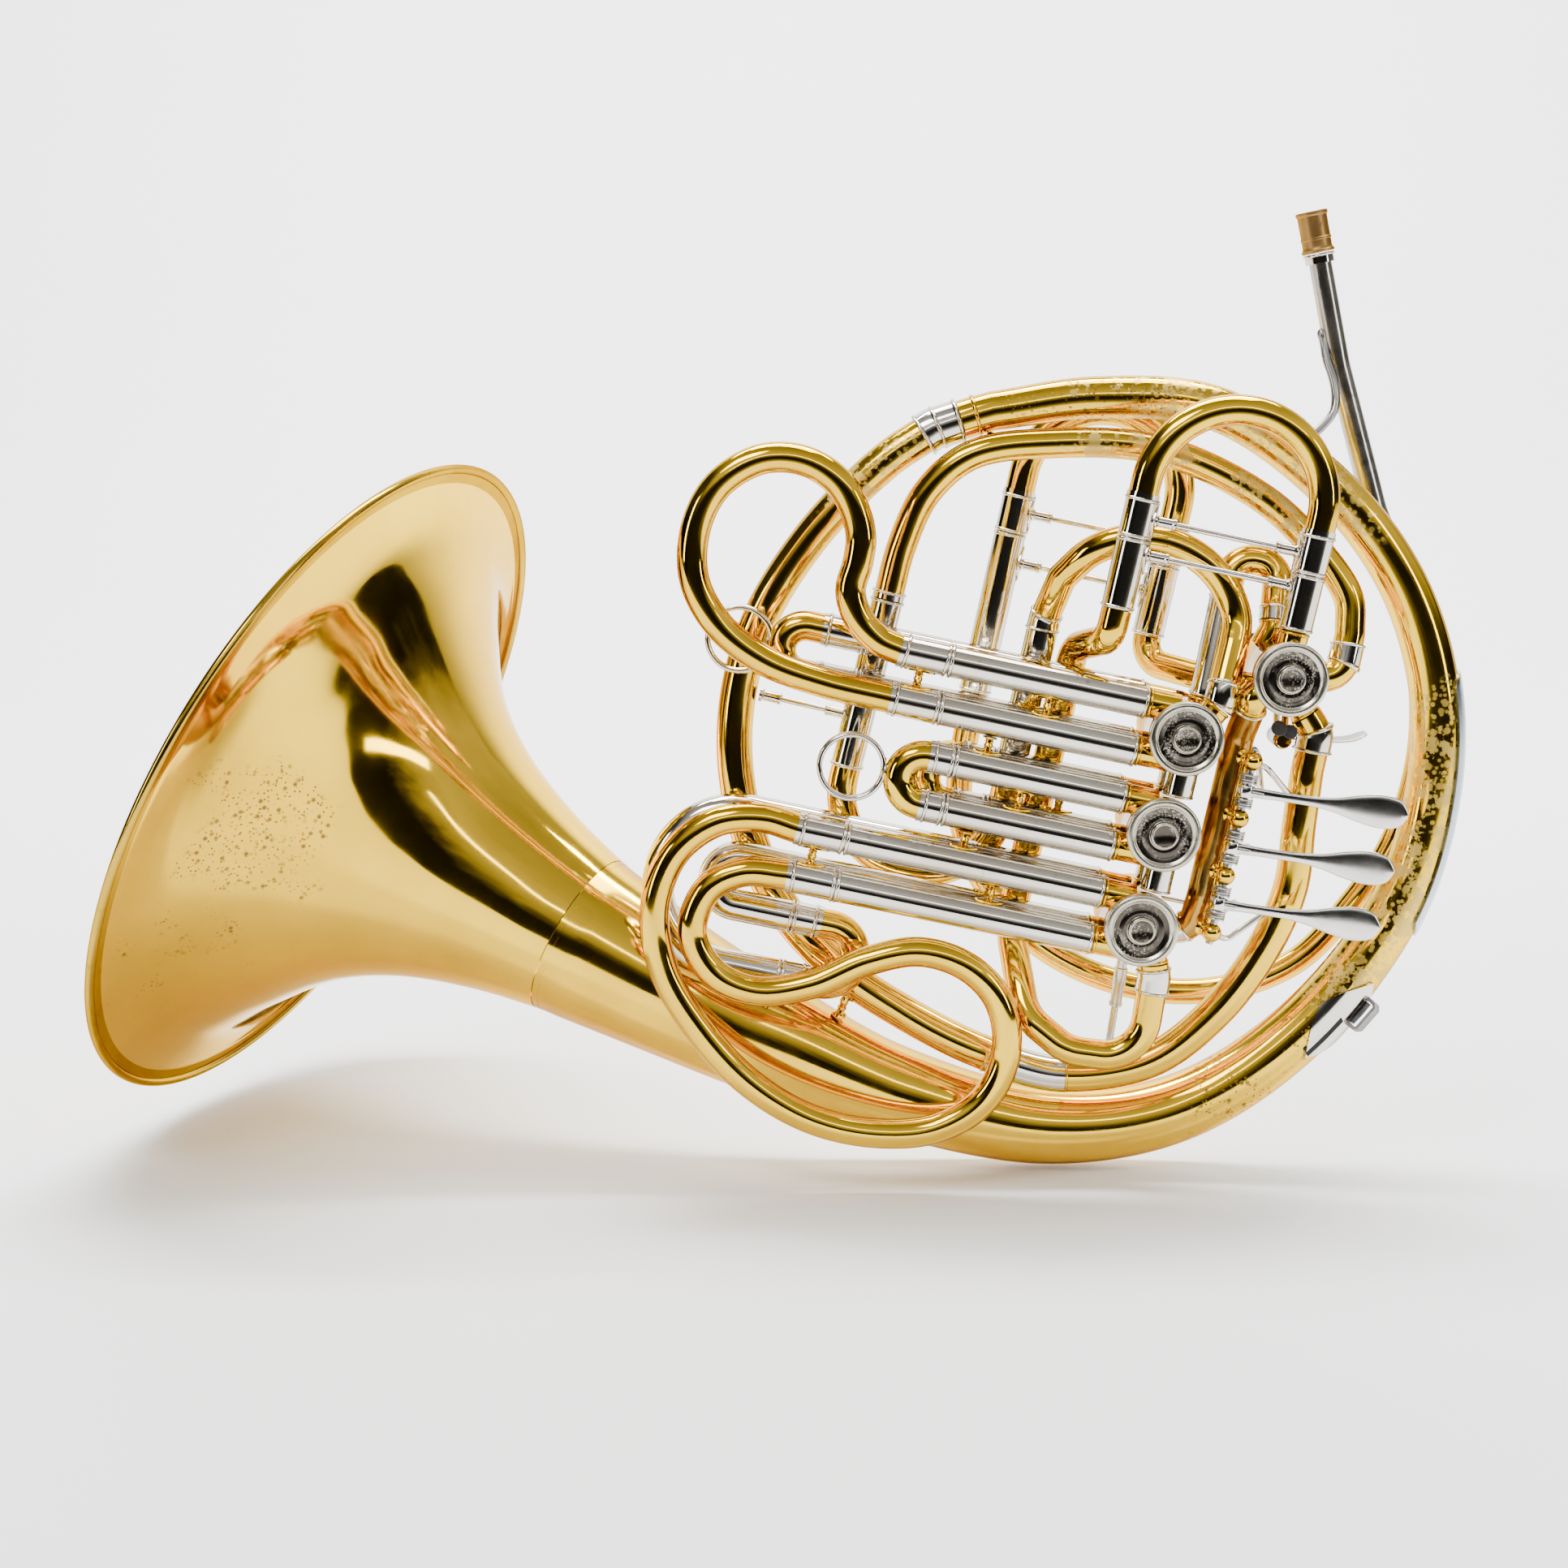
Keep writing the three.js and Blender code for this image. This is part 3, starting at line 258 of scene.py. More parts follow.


# Bare and plated metals: light and dark tone, roughness, grime and colour at the edge, where a darker edge
# colour is painted shade on grazing reflections.
BARE = {
    # The rim's darker brass is painted shade that marks the bell's rolled rim.
    "rim": ((0.60, 0.38, 0.04), (0.40, 0.24, 0.02), (0.1, 0.22), 0.5, GOLD_EDGE_SHADE),
    "aged": ((0.50, 0.30, 0.10), (0.27, 0.15, 0.05), (0.34, 0.52), 0.7, GOLD_EDGE_SHADE),
    "brown": ((0.46, 0.27, 0.06), (0.30, 0.16, 0.035), (0.12, 0.26), 0.5, GOLD_EDGE_SHADE),
    "bore": ((0.42, 0.27, 0.06), (0.25, 0.15, 0.03), (0.3, 0.5), 0.4, PLAIN_EDGE),
    "nickel": ((0.83, 0.80, 0.74), (0.70, 0.64, 0.55), (0.05, 0.14), 0.3, GREY_EDGE_SHADE),
    "sleeve": ((0.82, 0.78, 0.70), (0.68, 0.61, 0.50), (0.05, 0.13), 0.4, GREY_EDGE_SHADE),
    "inner": ((0.72, 0.68, 0.6), (0.55, 0.5, 0.42), (0.14, 0.28), 0.6, GREY_EDGE_SHADE),
    "lead": ((0.56, 0.53, 0.48), (0.36, 0.33, 0.29), (0.16, 0.3), 0.7, GREY_EDGE_SHADE),
    "pewter": ((0.42, 0.41, 0.40), (0.27, 0.26, 0.25), (0.2, 0.34), 0.6, GREY_EDGE_SHADE),
    "lever": ((0.84, 0.82, 0.78), (0.72, 0.69, 0.64), (0.09, 0.2), 0.25, GREY_EDGE_SHADE),
    "steel": ((0.62, 0.62, 0.63), (0.45, 0.45, 0.46), (0.18, 0.34), 0.3, GREY_EDGE_SHADE),
    "coil": ((0.50, 0.49, 0.46), (0.34, 0.33, 0.31), (0.16, 0.3), 0.4, PLAIN_EDGE),
    "guard": ((0.50, 0.56, 0.60), (0.36, 0.42, 0.47), (0.2, 0.32), 0.3, PLAIN_EDGE),
}
MATERIALS = {key: metal(key + "_metal", *look) for key, look in BARE.items()}
MATERIALS |= {
    "bell": lacquer("bell_lacquer", (0.05, 0.11), 0.08, BELL_EDGE_SHADE, pits=BELL_PITS, dents=0.03),
    "ring": lacquer("ring_lacquer", (0.06, 0.14), wear=RING_WEAR, pits=RING_PITS),
    "branch": lacquer("branch_lacquer", (0.05, 0.13), wear=BRANCH_WEAR),
    "band": lacquer("band_lacquer", (0.05, 0.12), wear=BAND_WEAR),
    "brass": lacquer("brass_lacquer", (0.045, 0.12)),
    # The caps' dark face is painted reflection, with specks and rubbed patches of wear.
    "cap": speckled("cap_dark_reflection", (0.075, 0.066, 0.055), (0.62, 0.58, 0.47)),
    "cap_rim": metal("cap_rim", (0.66, 0.62, 0.50), (0.42, 0.38, 0.29), (0.16, 0.32), 0.6, mark=1.0),
    "cork": cork("cork", (0.012, 0.011, 0.011), 0.6),
}


# ---------------------------------------------------------------- meshes


class Build:
    """Gathers the closed shapes of one piece, each with its material, and makes the object."""

    def __init__(self):
        self.verts, self.faces, self.keys = [], [], []

    def grid(self, rows, keys, closed_rows=False):
        """Rows of points, all the same length and closed round. keys[i] is the material after row i."""
        start = len(self.verts)
        count = len(rows[0])
        for row in rows:
            self.verts.extend(row)
        last = len(rows) if closed_rows else len(rows) - 1
        for i in range(last):
            a, b = start + i * count, start + ((i + 1) % len(rows)) * count
            for j in range(count):
                k = (j + 1) % count
                self.faces.append((a + j, a + k, b + k, b + j))
                self.keys.append(keys[i])

    def done(self, name, body, replaces=(), slot=None, sharp=35.0):
        """Makes the object in the row frame, with sharp edges where its faces meet at a corner."""
        materials = list(dict.fromkeys(self.keys))
        data = bpy.data.meshes.new(name)
        data.from_pydata([tuple(v) for v in self.verts], [], self.faces)
        for key in materials:
            data.materials.append(MATERIALS[key])
        data.polygons.foreach_set("material_index", [materials.index(k) for k in self.keys])
        mesh = bmesh.new()
        mesh.from_mesh(data)
        bmesh.ops.remove_doubles(mesh, verts=mesh.verts, dist=1e-7)
        bmesh.ops.recalc_face_normals(mesh, faces=mesh.faces)
        limit = math.radians(sharp)
        for edge in mesh.edges:
            edge.smooth = len(edge.link_faces) == 2 and edge.calc_face_angle(0.0) < limit
        for face in mesh.faces:
            face.smooth = True
        mesh.to_mesh(data)
        mesh.free()
        piece = bpy.data.objects.new(name, data)
        bpy.context.scene.collection.objects.link(piece)
        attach(piece, body)
        if replaces:
            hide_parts(*replaces)


def closed_ends(rows):
    """The rows with a point at each end, which closes the shape."""
    tips = [[sum(rows[end], Vector()) / len(rows[end])] * len(rows[end]) for end in (0, -1)]
    return [tips[0]] + rows + [tips[1]]


def rounded(x, power):
    """x raised to a power, with its sign kept."""
    return math.copysign(abs(x) ** power, x)


def v(point):
    return Vector(point[:3])


def bent(*corners, step=6.0):
    """Straight lines joined by arcs: each corner is (u, y, w, bend radius)."""
    points = [v(c) for c in corners]
    route = [points[0]]
    for i in range(1, len(points) - 1):
        into = (points[i] - points[i - 1]).normalized()
        out = (points[i + 1] - points[i]).normalized()
        turn = into.angle(out)
        radius = corners[i][3]
        start = points[i] - into * radius * math.tan(turn / 2)
        centre = points[i] + (out - into).normalized() * radius / math.cos(turn / 2)
        axis = into.cross(out).normalized()
        count = max(3, math.ceil(math.degrees(turn) / step))
        for k in range(count + 1):
            route.append(centre + Quaternion(axis, turn * k / count) @ (start - centre))
    route.append(points[-1])
    return clean(route)


def hermite(a, leave, b, arrive, t):
    """The curve from a to b that leaves and arrives at given rates."""
    start = a * (2 * t**3 - 3 * t**2 + 1) + leave * (t**3 - 2 * t**2 + t)
    return start + b * (3 * t**2 - 2 * t**3) + arrive * (t**3 - t**2)


def smooth(points, step=2.6):
    """A centripetal Catmull-Rom curve through a few points."""
    p = [v(q) for q in points]
    p = [p[0] * 2 - p[1]] + p + [p[-1] * 2 - p[-2]]
    route = []
    for a, b, c, d in zip(p, p[1:], p[2:], p[3:]):
        t0, t1, t2 = (max((e - f).length, 1e-4) ** 0.5 for e, f in ((b, a), (c, b), (d, c)))
        leave = ((b - a) / t0 - (c - a) / (t0 + t1) + (c - b) / t1) * t1
        arrive = ((c - b) / t1 - (d - b) / (t1 + t2) + (d - c) / t2) * t1
        count = max(2, math.ceil((c - b).length / step))
        route += [hermite(b, leave, c, arrive, k / count) for k in range(count)]
    route.append(p[-2])
    return clean(route)


def clean(route):
    kept = [route[0]]
    for point in route[1:]:
        if (point - kept[-1]).length > 0.03:
            kept.append(point)
    return kept


def chain(*routes):
    return clean([point for route in routes for point in route])


def reach_of(route):
    reach = [0.0]
    for a, b in zip(route, route[1:]):
        reach.append(reach[-1] + (b - a).length)
    return reach


def length_of(route):
    return reach_of(route)[-1]


def cut_route(route, start, end=None):
    """The part of a route between two distances along it. A negative end is counted back from the far end."""
    reach = reach_of(route)
    if end is None or end < 0:
        end = reach[-1] + (end or 0.0)

    def at(s):
        for i in range(len(route) - 1):
            if s <= reach[i + 1] + 1e-9:
                return route[i].lerp(route[i + 1], (s - reach[i]) / (reach[i + 1] - reach[i]))
        return route[-1].copy()

    inside = [p for p, r in zip(route, reach) if start + 0.03 < r < end - 0.03]
    return [at(start)] + inside + [at(end)]


def near_on(route, point):
    """The index of a route's point nearest to a place."""
    return min(range(len(route)), key=lambda i: (route[i] - v(point)).length)


def direction_at(route, i):
    return (route[min(i + 1, len(route) - 1)] - route[max(i - 1, 0)]).normalized()


class Track:
    """A route with the axes across it at any distance along it."""

    def __init__(self, route):
        self.route = route
        self.reach = reach_of(route)
        self.total = self.reach[-1]
        self.along, self.across = [], []
        across = Vector((0, 1, 0))
        for i, point in enumerate(route):
            before = (point - route[i - 1]).normalized() if i else Vector()
            after = (route[i + 1] - point).normalized() if i < len(route) - 1 else Vector()
            along = (before + after).normalized()
            if i == 0 and abs(along.y) > 0.99:
                across = Vector((1, 0, 0))
            across = (across - along * across.dot(along)).normalized()
            self.along.append(along)
            self.across.append(across.copy())
        self.hint = 0

    def ring(self, s, radius, sides):
        s = min(max(s, 0.0), self.total)
        i = self.hint if self.reach[self.hint] <= s else 0
        while i < len(self.route) - 2 and self.reach[i + 1] < s:
            i += 1
        self.hint = i
        t = (s - self.reach[i]) / (self.reach[i + 1] - self.reach[i])
        centre = self.route[i].lerp(self.route[i + 1], t)
        along = self.along[i].lerp(self.along[i + 1], t).normalized()
        across = self.across[i].lerp(self.across[i + 1], t)
        across = (across - along * across.dot(along)).normalized()
        third = along.cross(across)
        points = []
        for k in range(sides):
            a = 2 * math.pi * (k + 0.5) / sides
            points.append(world(centre + across * radius * math.sin(a) + third * radius * math.cos(a)))
        return points


def bead(start, end, low, high):
    """A raised round ring between two distances: its outline as (distance, radius)."""
    shares = [k / 8 for k in range(9)]
    return [(start + (end - start) * t, low + (high - low) * math.sin(math.pi * t) ** 0.6) for t in shares]


def sweep(build, route, parts, bore=None, sides=28):
    """Adds a tube along a route. parts is a list of (end, radius, material), each from where the last one
    ends. A negative end is counted back from the route's end, and none is the end itself. radius is a number,
    a function of the distance, or the low and high radius of a raised ring. bore is the inner radius, or none
    for a solid."""
    track = Track(route)
    outline = []
    start = 0.0
    for end, radius, key in parts:
        if end is None or end < 0:
            end = track.total + (end or 0.0)
        if isinstance(radius, tuple):
            points = bead(start, end, *radius)
        else:
            size = radius if callable(radius) else (lambda s, r=radius: r)
            inner = [r for r in track.reach if start + 0.3 < r < end - 0.3]
            points = [(s, size(s)) for s in [start, *inner, end]]
        outline += [(s, r, key) for s, r in points]
        start = end
    rows = [track.ring(s, r, sides) for s, r, _ in outline]
    keys = []
    for (_, r0, k0), (_, r1, k1) in zip(outline, outline[1:]):
        keys.append(k0 if r0 >= r1 or k0 == k1 else k1)
    if bore is None:
        rows = [track.ring(0.0, 0.001, sides)] + rows + [track.ring(track.total, 0.001, sides)]
        build.grid(rows, [outline[0][2]] + keys + [outline[-1][2]])
        return
    hollow = bore if callable(bore) else (lambda s: bore)
    stops = list(reversed(track.reach))
    rows += [track.ring(s, hollow(s), sides) for s in stops]
    keys = keys + [outline[-1][2]] + ["bore"] * (len(stops) - 1) + [outline[0][2]]
    build.grid(rows, keys, closed_rows=True)


def turned(build, centre, axis, profile, key, sides=48, keys=None):
    """Adds a piece turned round an axis: the profile is (radius, distance along the axis) points."""
    axis = Vector(axis).normalized()
    across = axis.orthogonal().normalized()
    third = axis.cross(across)
    angles = [2 * math.pi * k / sides for k in range(sides)]
    spokes = [across * math.sin(a) + third * math.cos(a) for a in angles]
    rows = []
    for radius, along in profile:
        middle = v(centre) + axis * along
        rows.append([world(middle + spoke * max(radius, 0.001)) for spoke in spokes])
    build.grid(rows, keys or [key] * (len(rows) - 1))


def post(build, a, b, key="brass", size=1.0, sides=16):
    """A turned brace between two tubes: feet, necks, rings and a swelling in the middle."""
    a, b = v(a), v(b)
    length = (b - a).length
    shape = [
        (0, 0.0), (3.1, 0.0), (2.9, 0.07), (1.8, 0.12), (1.4, 0.2), (1.9, 0.25), (1.9, 0.29), (1.4, 0.33),
        (1.7, 0.42), (1.95, 0.5), (1.7, 0.58), (1.4, 0.67), (1.9, 0.71), (1.9, 0.75), (1.4, 0.8), (1.8, 0.88),
        (2.9, 0.93), (3.1, 1.0), (0, 1.0),
    ]
    turned(build, a, b - a, [(r * size, t * length) for r, t in shape], key, sides)


def brace_rod(build, a, b, key="nickel", radius=1.25):
    """A thin rod whose ends sit in collared sockets."""
    a, b = v(a), v(b)
    length = (b - a).length
    half = [
        (0, 0), (2.9, 0), (2.9, 1.2), (2.2, 2.0), (2.2, 7.6), (2.5, 8.0), (2.5, 8.9), (2.0, 9.4),
        (radius, 9.6),
    ]
    shape = half + [(r, length - t) for r, t in reversed(half)]
    turned(build, a, b - a, shape, key, 18)


def flange(build, centre, along, toward, tube_radius, long=8.0, wide=4.6, key="nickel", thick=0.7):
    """The pointed foot plate of a brace, wrapped round its tube."""
    along, toward = Vector(along).normalized(), Vector(toward)
    toward = (toward - along * toward.dot(along)).normalized()
    side = along.cross(toward)
    count = 28
    rows = []
    for lift, share in ((0.02, 1.0), (thick * 0.75, 0.98), (thick, 0.86), (thick, 0.5), (thick, 0.02)):
        radius = tube_radius + lift
        row = []
        for k in range(count):
            a = 2 * math.pi * k / count
            x = long * share * rounded(math.cos(a), 1.5)
            bend = wide * share * rounded(math.sin(a), 1.5) / tube_radius
            around = toward * radius * math.cos(bend) + side * radius * math.sin(bend)
            row.append(world(v(centre) + along * x + around))
        rows.append(row)
    build.grid(rows, [key] * (len(rows) - 1))


def wire(build, route, radius, key, sides=10):
    sweep(build, route, [(None, radius, key)], sides=sides)


def wire_loop(build, centre, radius, thickness, key, depth, sides=12, count=64):
    """A closed ring of wire that lies across the depth."""
    axis = Vector(DEEP)
    across = axis.orthogonal().normalized()
    third = axis.cross(across)
    rows = []
    for i in range(count):
        t = 2 * math.pi * i / count
        spoke = across * math.cos(t) + third * math.sin(t)
        middle = v(centre) + axis * depth + spoke * radius
        angles = [2 * math.pi * k / sides for k in range(sides)]
        rows.append([world(middle + (spoke * math.cos(a) + axis * math.sin(a)) * thickness) for a in angles])
    build.grid(rows, [key] * count, closed_rows=True)


def between(points, s):
    """A table of (distance, value) read at any distance, on a smooth curve that keeps its rises and falls."""
    if s <= points[0][0]:
        return points[0][1]
    if s >= points[-1][0]:
        return points[-1][1]
    i = next(k for k in range(len(points) - 1) if s <= points[k + 1][0])
    (x0, y0), (x1, y1) = points[i], points[i + 1]

    def rise(a, b):
        return (points[b][1] - points[a][1]) / (points[b][0] - points[a][0])

    def slope(k):
        if k <= 0:
            return rise(0, 1)
        if k >= len(points) - 1:
            return rise(len(points) - 2, len(points) - 1)
        left, right = rise(k - 1, k), rise(k, k + 1)
        return 0.0 if left * right <= 0 else 2 * left * right / (left + right)

    h = x1 - x0
    return hermite(y0, slope(i) * h, y1, slope(i + 1) * h, (s - x0) / h)


# ---------------------------------------------------------------- bell, tail, first branch

MOUTH = Vector((-351.2, 82.3, -70.6))
AXIS = Vector((0.9156, -0.3143, -0.2508)).normalized()
FLARE = [
    (0, 155.5), (2, 147.5), (5, 136.6), (9, 126.6), (14, 118), (20, 109), (27, 99.8), (35, 89.8), (44, 80),
    (55, 70.4), (68, 61.6), (83, 53.8), (100, 47.2), (119, 41.4), (140, 36.5),
]


def make_bell():
    build = Build()
    steps = [140 * (k / 70) ** 1.7 for k in range(71)]
    outer = [(between(FLARE, s), s) for s in steps if s > 1.7]
    lining = [(r - 0.8 - 0.5 * min(1.0, 12 / max(s, 1)), s) for r, s in reversed(outer)]
    lining += [(149.6, 0.7), (151.6, 0.0)]
    angles = [math.radians(d) for d in range(-120, 166, 15)]
    curl = [(153.3 + 2 * math.cos(a), 1.5 + 2 * math.sin(a)) for a in angles]
    # The curl takes the darker rim brass: painted shade along the rolled rim.
    keys = ["rim"] * len(curl) + ["bell"] * (len(outer) + len(lining))
    turned(build, MOUTH, AXIS, curl + outer + lining + curl[:1], "bell", 144, keys)
    build.done("bell", HORN, ["bell_flare"], "brass", 50)


JOINT = Vector((-112, RING, 143.2))
JOINT_WAY = Vector((0.87, 0, 0.493)).normalized()
TAIL = [
    (*(MOUTH + AXIS * 148), 35.2), (-180, 25.2, -116.8, 30), (-135, 14.5, -127, 25),
    (-79.5, 10, -137.6, 19.3), (-11.8, 10, -139.3, 16.2), (40.9, 10.5, -120.1, 14.4), (83.4, 11.5, -77, 13),
    (110.6, RING, -17.8, 11.6), (113.9, RING, 32.2, 10.9), (104.3, RING, 75.7, 10.5),
    (80.9, RING, 115.7, 10.1), (42.5, RING, 148.2, 9.6), (-10.5, RING, 169.4, 9.1),
    (-60.4, RING, 163.6, 8.6), (-100, RING, 149.6, 8.1),
]
TAIL_ROUTE = chain([MOUTH + AXIS * 140.3], smooth(TAIL), [JOINT + JOINT_WAY * 5, JOINT + JOINT_WAY * 0.15])


def tail_table():
    """The radius of the tail at distances along it."""
    reach = reach_of(TAIL_ROUTE)
    table = [(reach[near_on(TAIL_ROUTE, point)], point[3]) for point in TAIL]
    return [(0.0, 36.2)] + table + [(reach[-1], 8.0)]


TAIL_RADII = tail_table()


def tail_radius(s):
    return between(TAIL_RADII, s)


def make_tail():
    build = Build()
    sweep(build, TAIL_ROUTE, [
        (2.4, lambda s: tail_radius(s) + 0.12, "ring"), (-7, tail_radius, "ring"), (-5.4, (8.0, 8.9), "ring"),
        (None, 8.1, "ring"),
    ], bore=lambda s: tail_radius(s) - 0.8, sides=56)
    build.done("tail", HORN, ["bell_tail"], "brass")


BRANCH = [
    (56.6, REAR, 34), (58.6, REAR, 12), (61.6, -6, -16), (56.5, -5, -44), (43, -3.5, -75), (22, -2, -100),
    (-14, -1.2, -113.6), (-48, 0, -111), (-82, 6.5, -103), (-114, 8.3, -90), (-142, 8.8, -69),
    (-164, 10, -38), (-176.5, RING, 0), (-176.4, RING, 42), (-161.8, RING, 84.1), (-139, RING, 120),
    tuple(JOINT - JOINT_WAY * 12),
]
BRANCH_ROUTE = chain(
    bent((45, REAR, 61.6), (56.5, REAR, 50.1, 9), (56.6, REAR, 34)),
    smooth(BRANCH),
    [JOINT - JOINT_WAY * 0.15],
)


def make_branch():
    build = Build()
    route = cut_route(BRANCH_ROUTE, 7.8)
    total = length_of(route)

    def radius(s):
        return 6.6 + min(s / 120, 0.6) + s / total * 0.5

    sweep(build, route, [
        (6.5, radius, "branch"), (8, (7.0, 8.3), "nickel"), (15, 7.5, "nickel"),
        (16.5, (7.3, 8.3), "nickel"), (205, radius, "branch"), (206.2, (7.25, 7.75), "branch"),
        (239, 7.55, "nickel"), (240.2, (7.4, 7.85), "branch"), (-17, radius, "branch"),
        (-15.2, (8.2, 9.4), "nickel"), (-10.4, 8.7, "nickel"), (-8.8, (8.6, 9.3), "nickel"),
        (-1.8, 8.7, "nickel"), (None, (8.2, 9.4), "nickel"),
    ], bore=5.4, sides=36)
    post(build, (-107, 3, -96.5), (-108.5, 6, -109.4), size=1.05)
    i = near_on(BRANCH_ROUTE, (-107, 7, -93))
    flange(build, BRANCH_ROUTE[i], direction_at(BRANCH_ROUTE, i), (0, -0.6, -1), 7.6, 7, 4, "branch")
    build.done("first_branch_tube", HORN, ["first_branch"], "brass")


# ---------------------------------------------------------------- leadpipe

LEAD_END = (18.3, 30, 240)
LEAD_ROUTE = chain(
    bent(LEAD_END, (37, 29.5, 197.5, 60), (58, 29.5, 158, 60), (66, 30, 143), step=3),
    smooth([
        (66, 30, 143), (84, 31, 116), (100, 31, 84), (109.5, 31.5, 48), (108.5, 32, 10), (98, 31.5, -20),
        (79, 31, -52), (48, 30.5, -71), (10, 30.5, -76.5), (-30, 30.5, -67), (-60, 30.5, -44),
        (-76.5, 30.5, -14), (-80.2, BACK, 20), (-80.4, BACK, 33),
    ]),
)
RECEIVER_AXIS = (Vector(LEAD_END) - Vector((37, 29.5, 197.5))).normalized()
BRACKET = [
    (27.1, 28.3, 208.5), (28.9, 27.6, 204.5), (31, 25.5, 198.5), (34.8, 22.8, 191.5), (37.2, 21, 185),
    (37.6, 19, 178.5), (34.6, 17.3, 172.3), (31, 16, 167.5),
]


def make_leadpipe():
    build = Build()
    sweep(build, LEAD_ROUTE, [
        (1.2, (6.0, 6.6), "nickel"), (4, 5.9, "nickel"), (128, lambda s: 4.6 + s / 260, "lead"),
        (129.4, (5.2, 5.9), "nickel"), (146, 5.4, "lead"), (147.4, (5.2, 5.9), "nickel"),
        (-9, lambda s: 4.6 + min(s / 260, 1), "brass"), (-7.6, (5.8, 6.5), "nickel"), (None, 6.1, "nickel"),
    ], bore=lambda s: 3.4 + min(s / 260, 1), sides=28)
    wire(build, smooth(BRACKET), 1.8, "pewter", 14)
    small_bead = [(0, -2.2), (1.3, -1.8), (2.0, -0.6), (2.0, 1.2), (1.7, 2.4), (0, 2.4)]
    turned(build, BRACKET[0], (0.4, -0.1, -0.92), small_bead, "pewter", 20)
    build.done("leadpipe_tube", HORN, ["leadpipe"], "brass")

    build = Build()
    turned(build, Vector(LEAD_END) + RECEIVER_AXIS * GAP, RECEIVER_AXIS, [
        (4.0, 0), (6.3, 0), (6.75, 0.5), (6.75, 1.1), (6.2, 1.7), (6.05, 2.6), (6.05, 5.2), (6.3, 5.5),
        (6.3, 6.1), (6.05, 6.4), (6.1, 15), (6.5, 15.5), (6.6, 16.2), (6.45, 16.8), (6.0, 17), (4.9, 17),
        (4.75, 16.6), (4.0, 0),
    ], "aged", 40)
    build.done("receiver", HORN, ["mouthpiece_receiver"], "aged_brass")


# ---------------------------------------------------------------- fixed tubes

BAND_ROUTE = chain(
    bent((46, REAR, 72.5), (61, REAR, 72.5, 9), (61, REAR + 3, 92)),
    smooth([
        (61, REAR + 3, 92), (57.5, -1.5, 106), (42, 2, 121.5), (15, 4, 138), (-30, 4.5, 148.4), (-74, 5, 142),
        (-105, 5.5, 130.5), (-119.5, 6.5, 112), (-125, BEHIND, 88), (-125.9, BEHIND, 66),
    ]),
)
RETURN_ROUTE = bent(
    (-125.9, BEHIND, 65.7), (-128.9, BEHIND, -43, 32), (-61, BEHIND, -43, 32), (-61, BEHIND, 66),
)
INVERTED_ROUTE = chain(
    bent((-61, BEHIND, 66.3), (-61, BEHIND, 72, 10), (-58.5, 0, 90)),
    smooth([
        (-58.5, 0, 90), (-50, -7.5, 103), (-38, -11.3, 110.8), (-24, -12.4, 113.5), (-8, -12.6, 110),
        (5, -12.8, 101), (12.6, -14, 89), (13.2, -17.5, 78),
    ]),
    bent((13.2, -17.5, 78), (11.6, FRONT, 61, 12), (11.6, FRONT, 55, 4), (7.8, FRONT, PITCH + 7.8)),
)
SMALL_ROUTE = bent(
    (7.8, REAR, PITCH + 7.8), (8.4, REAR, 57, 8), (8.6, 3, 113, 9), (27, 0, 113, 9), (29.5, REAR, 88, 8),
    (27, REAR, 79.6),
)
THIRD_ROUTE = bent(
    (-37.3, FRONT, 83.7), (-37.5, FRONT, 71.5, 8), (-46.5, BEHIND, 62.5, 9), (-47, BEHIND, -57, 30),
    (-35, -17.5, -88.5, 20), (-16, -24.5, -97.5, 18), (13.6, FRONT, -95, 17), (11.6, FRONT, -60, 6),
    (7.8, FRONT, -PITCH - 7.8),
)
BYPASS_ROUTE = bent(
    (29, FRONT, 65.6), (24.8, FRONT, 60, 4), (24.8, -13.5, 43, 12), (25, -14, -25, 8), (25, -9, -41.5, 9),
    (11, -7, -41.5),
)
ELBOW_ROUTE = bent(
    (31, REAR, 68), (22, -3.3, 60.9, 6), (14.5, 6.5, 60.9, 14), (-14.5, BACK, 60.9, 10), (-14.5, BACK, 71.5)
)


def fixed_tube(name, route, parts, node, slot="brass", extra=None, sides=32):
    """One soldered tube with its bands, and what is soldered to it."""
    build = Build()
    sweep(build, route, parts, BORE, sides)
    if extra:
        extra(build)
    build.done(name, HORN, [node], slot)


def return_brace(build):
    brace_rod(build, (-132, 7.5, 15.6), (-169.2, 11, 15.8))
    flange(build, (-126.9, BEHIND, 15.6), UP, (-1, 0, 0), 6.5)


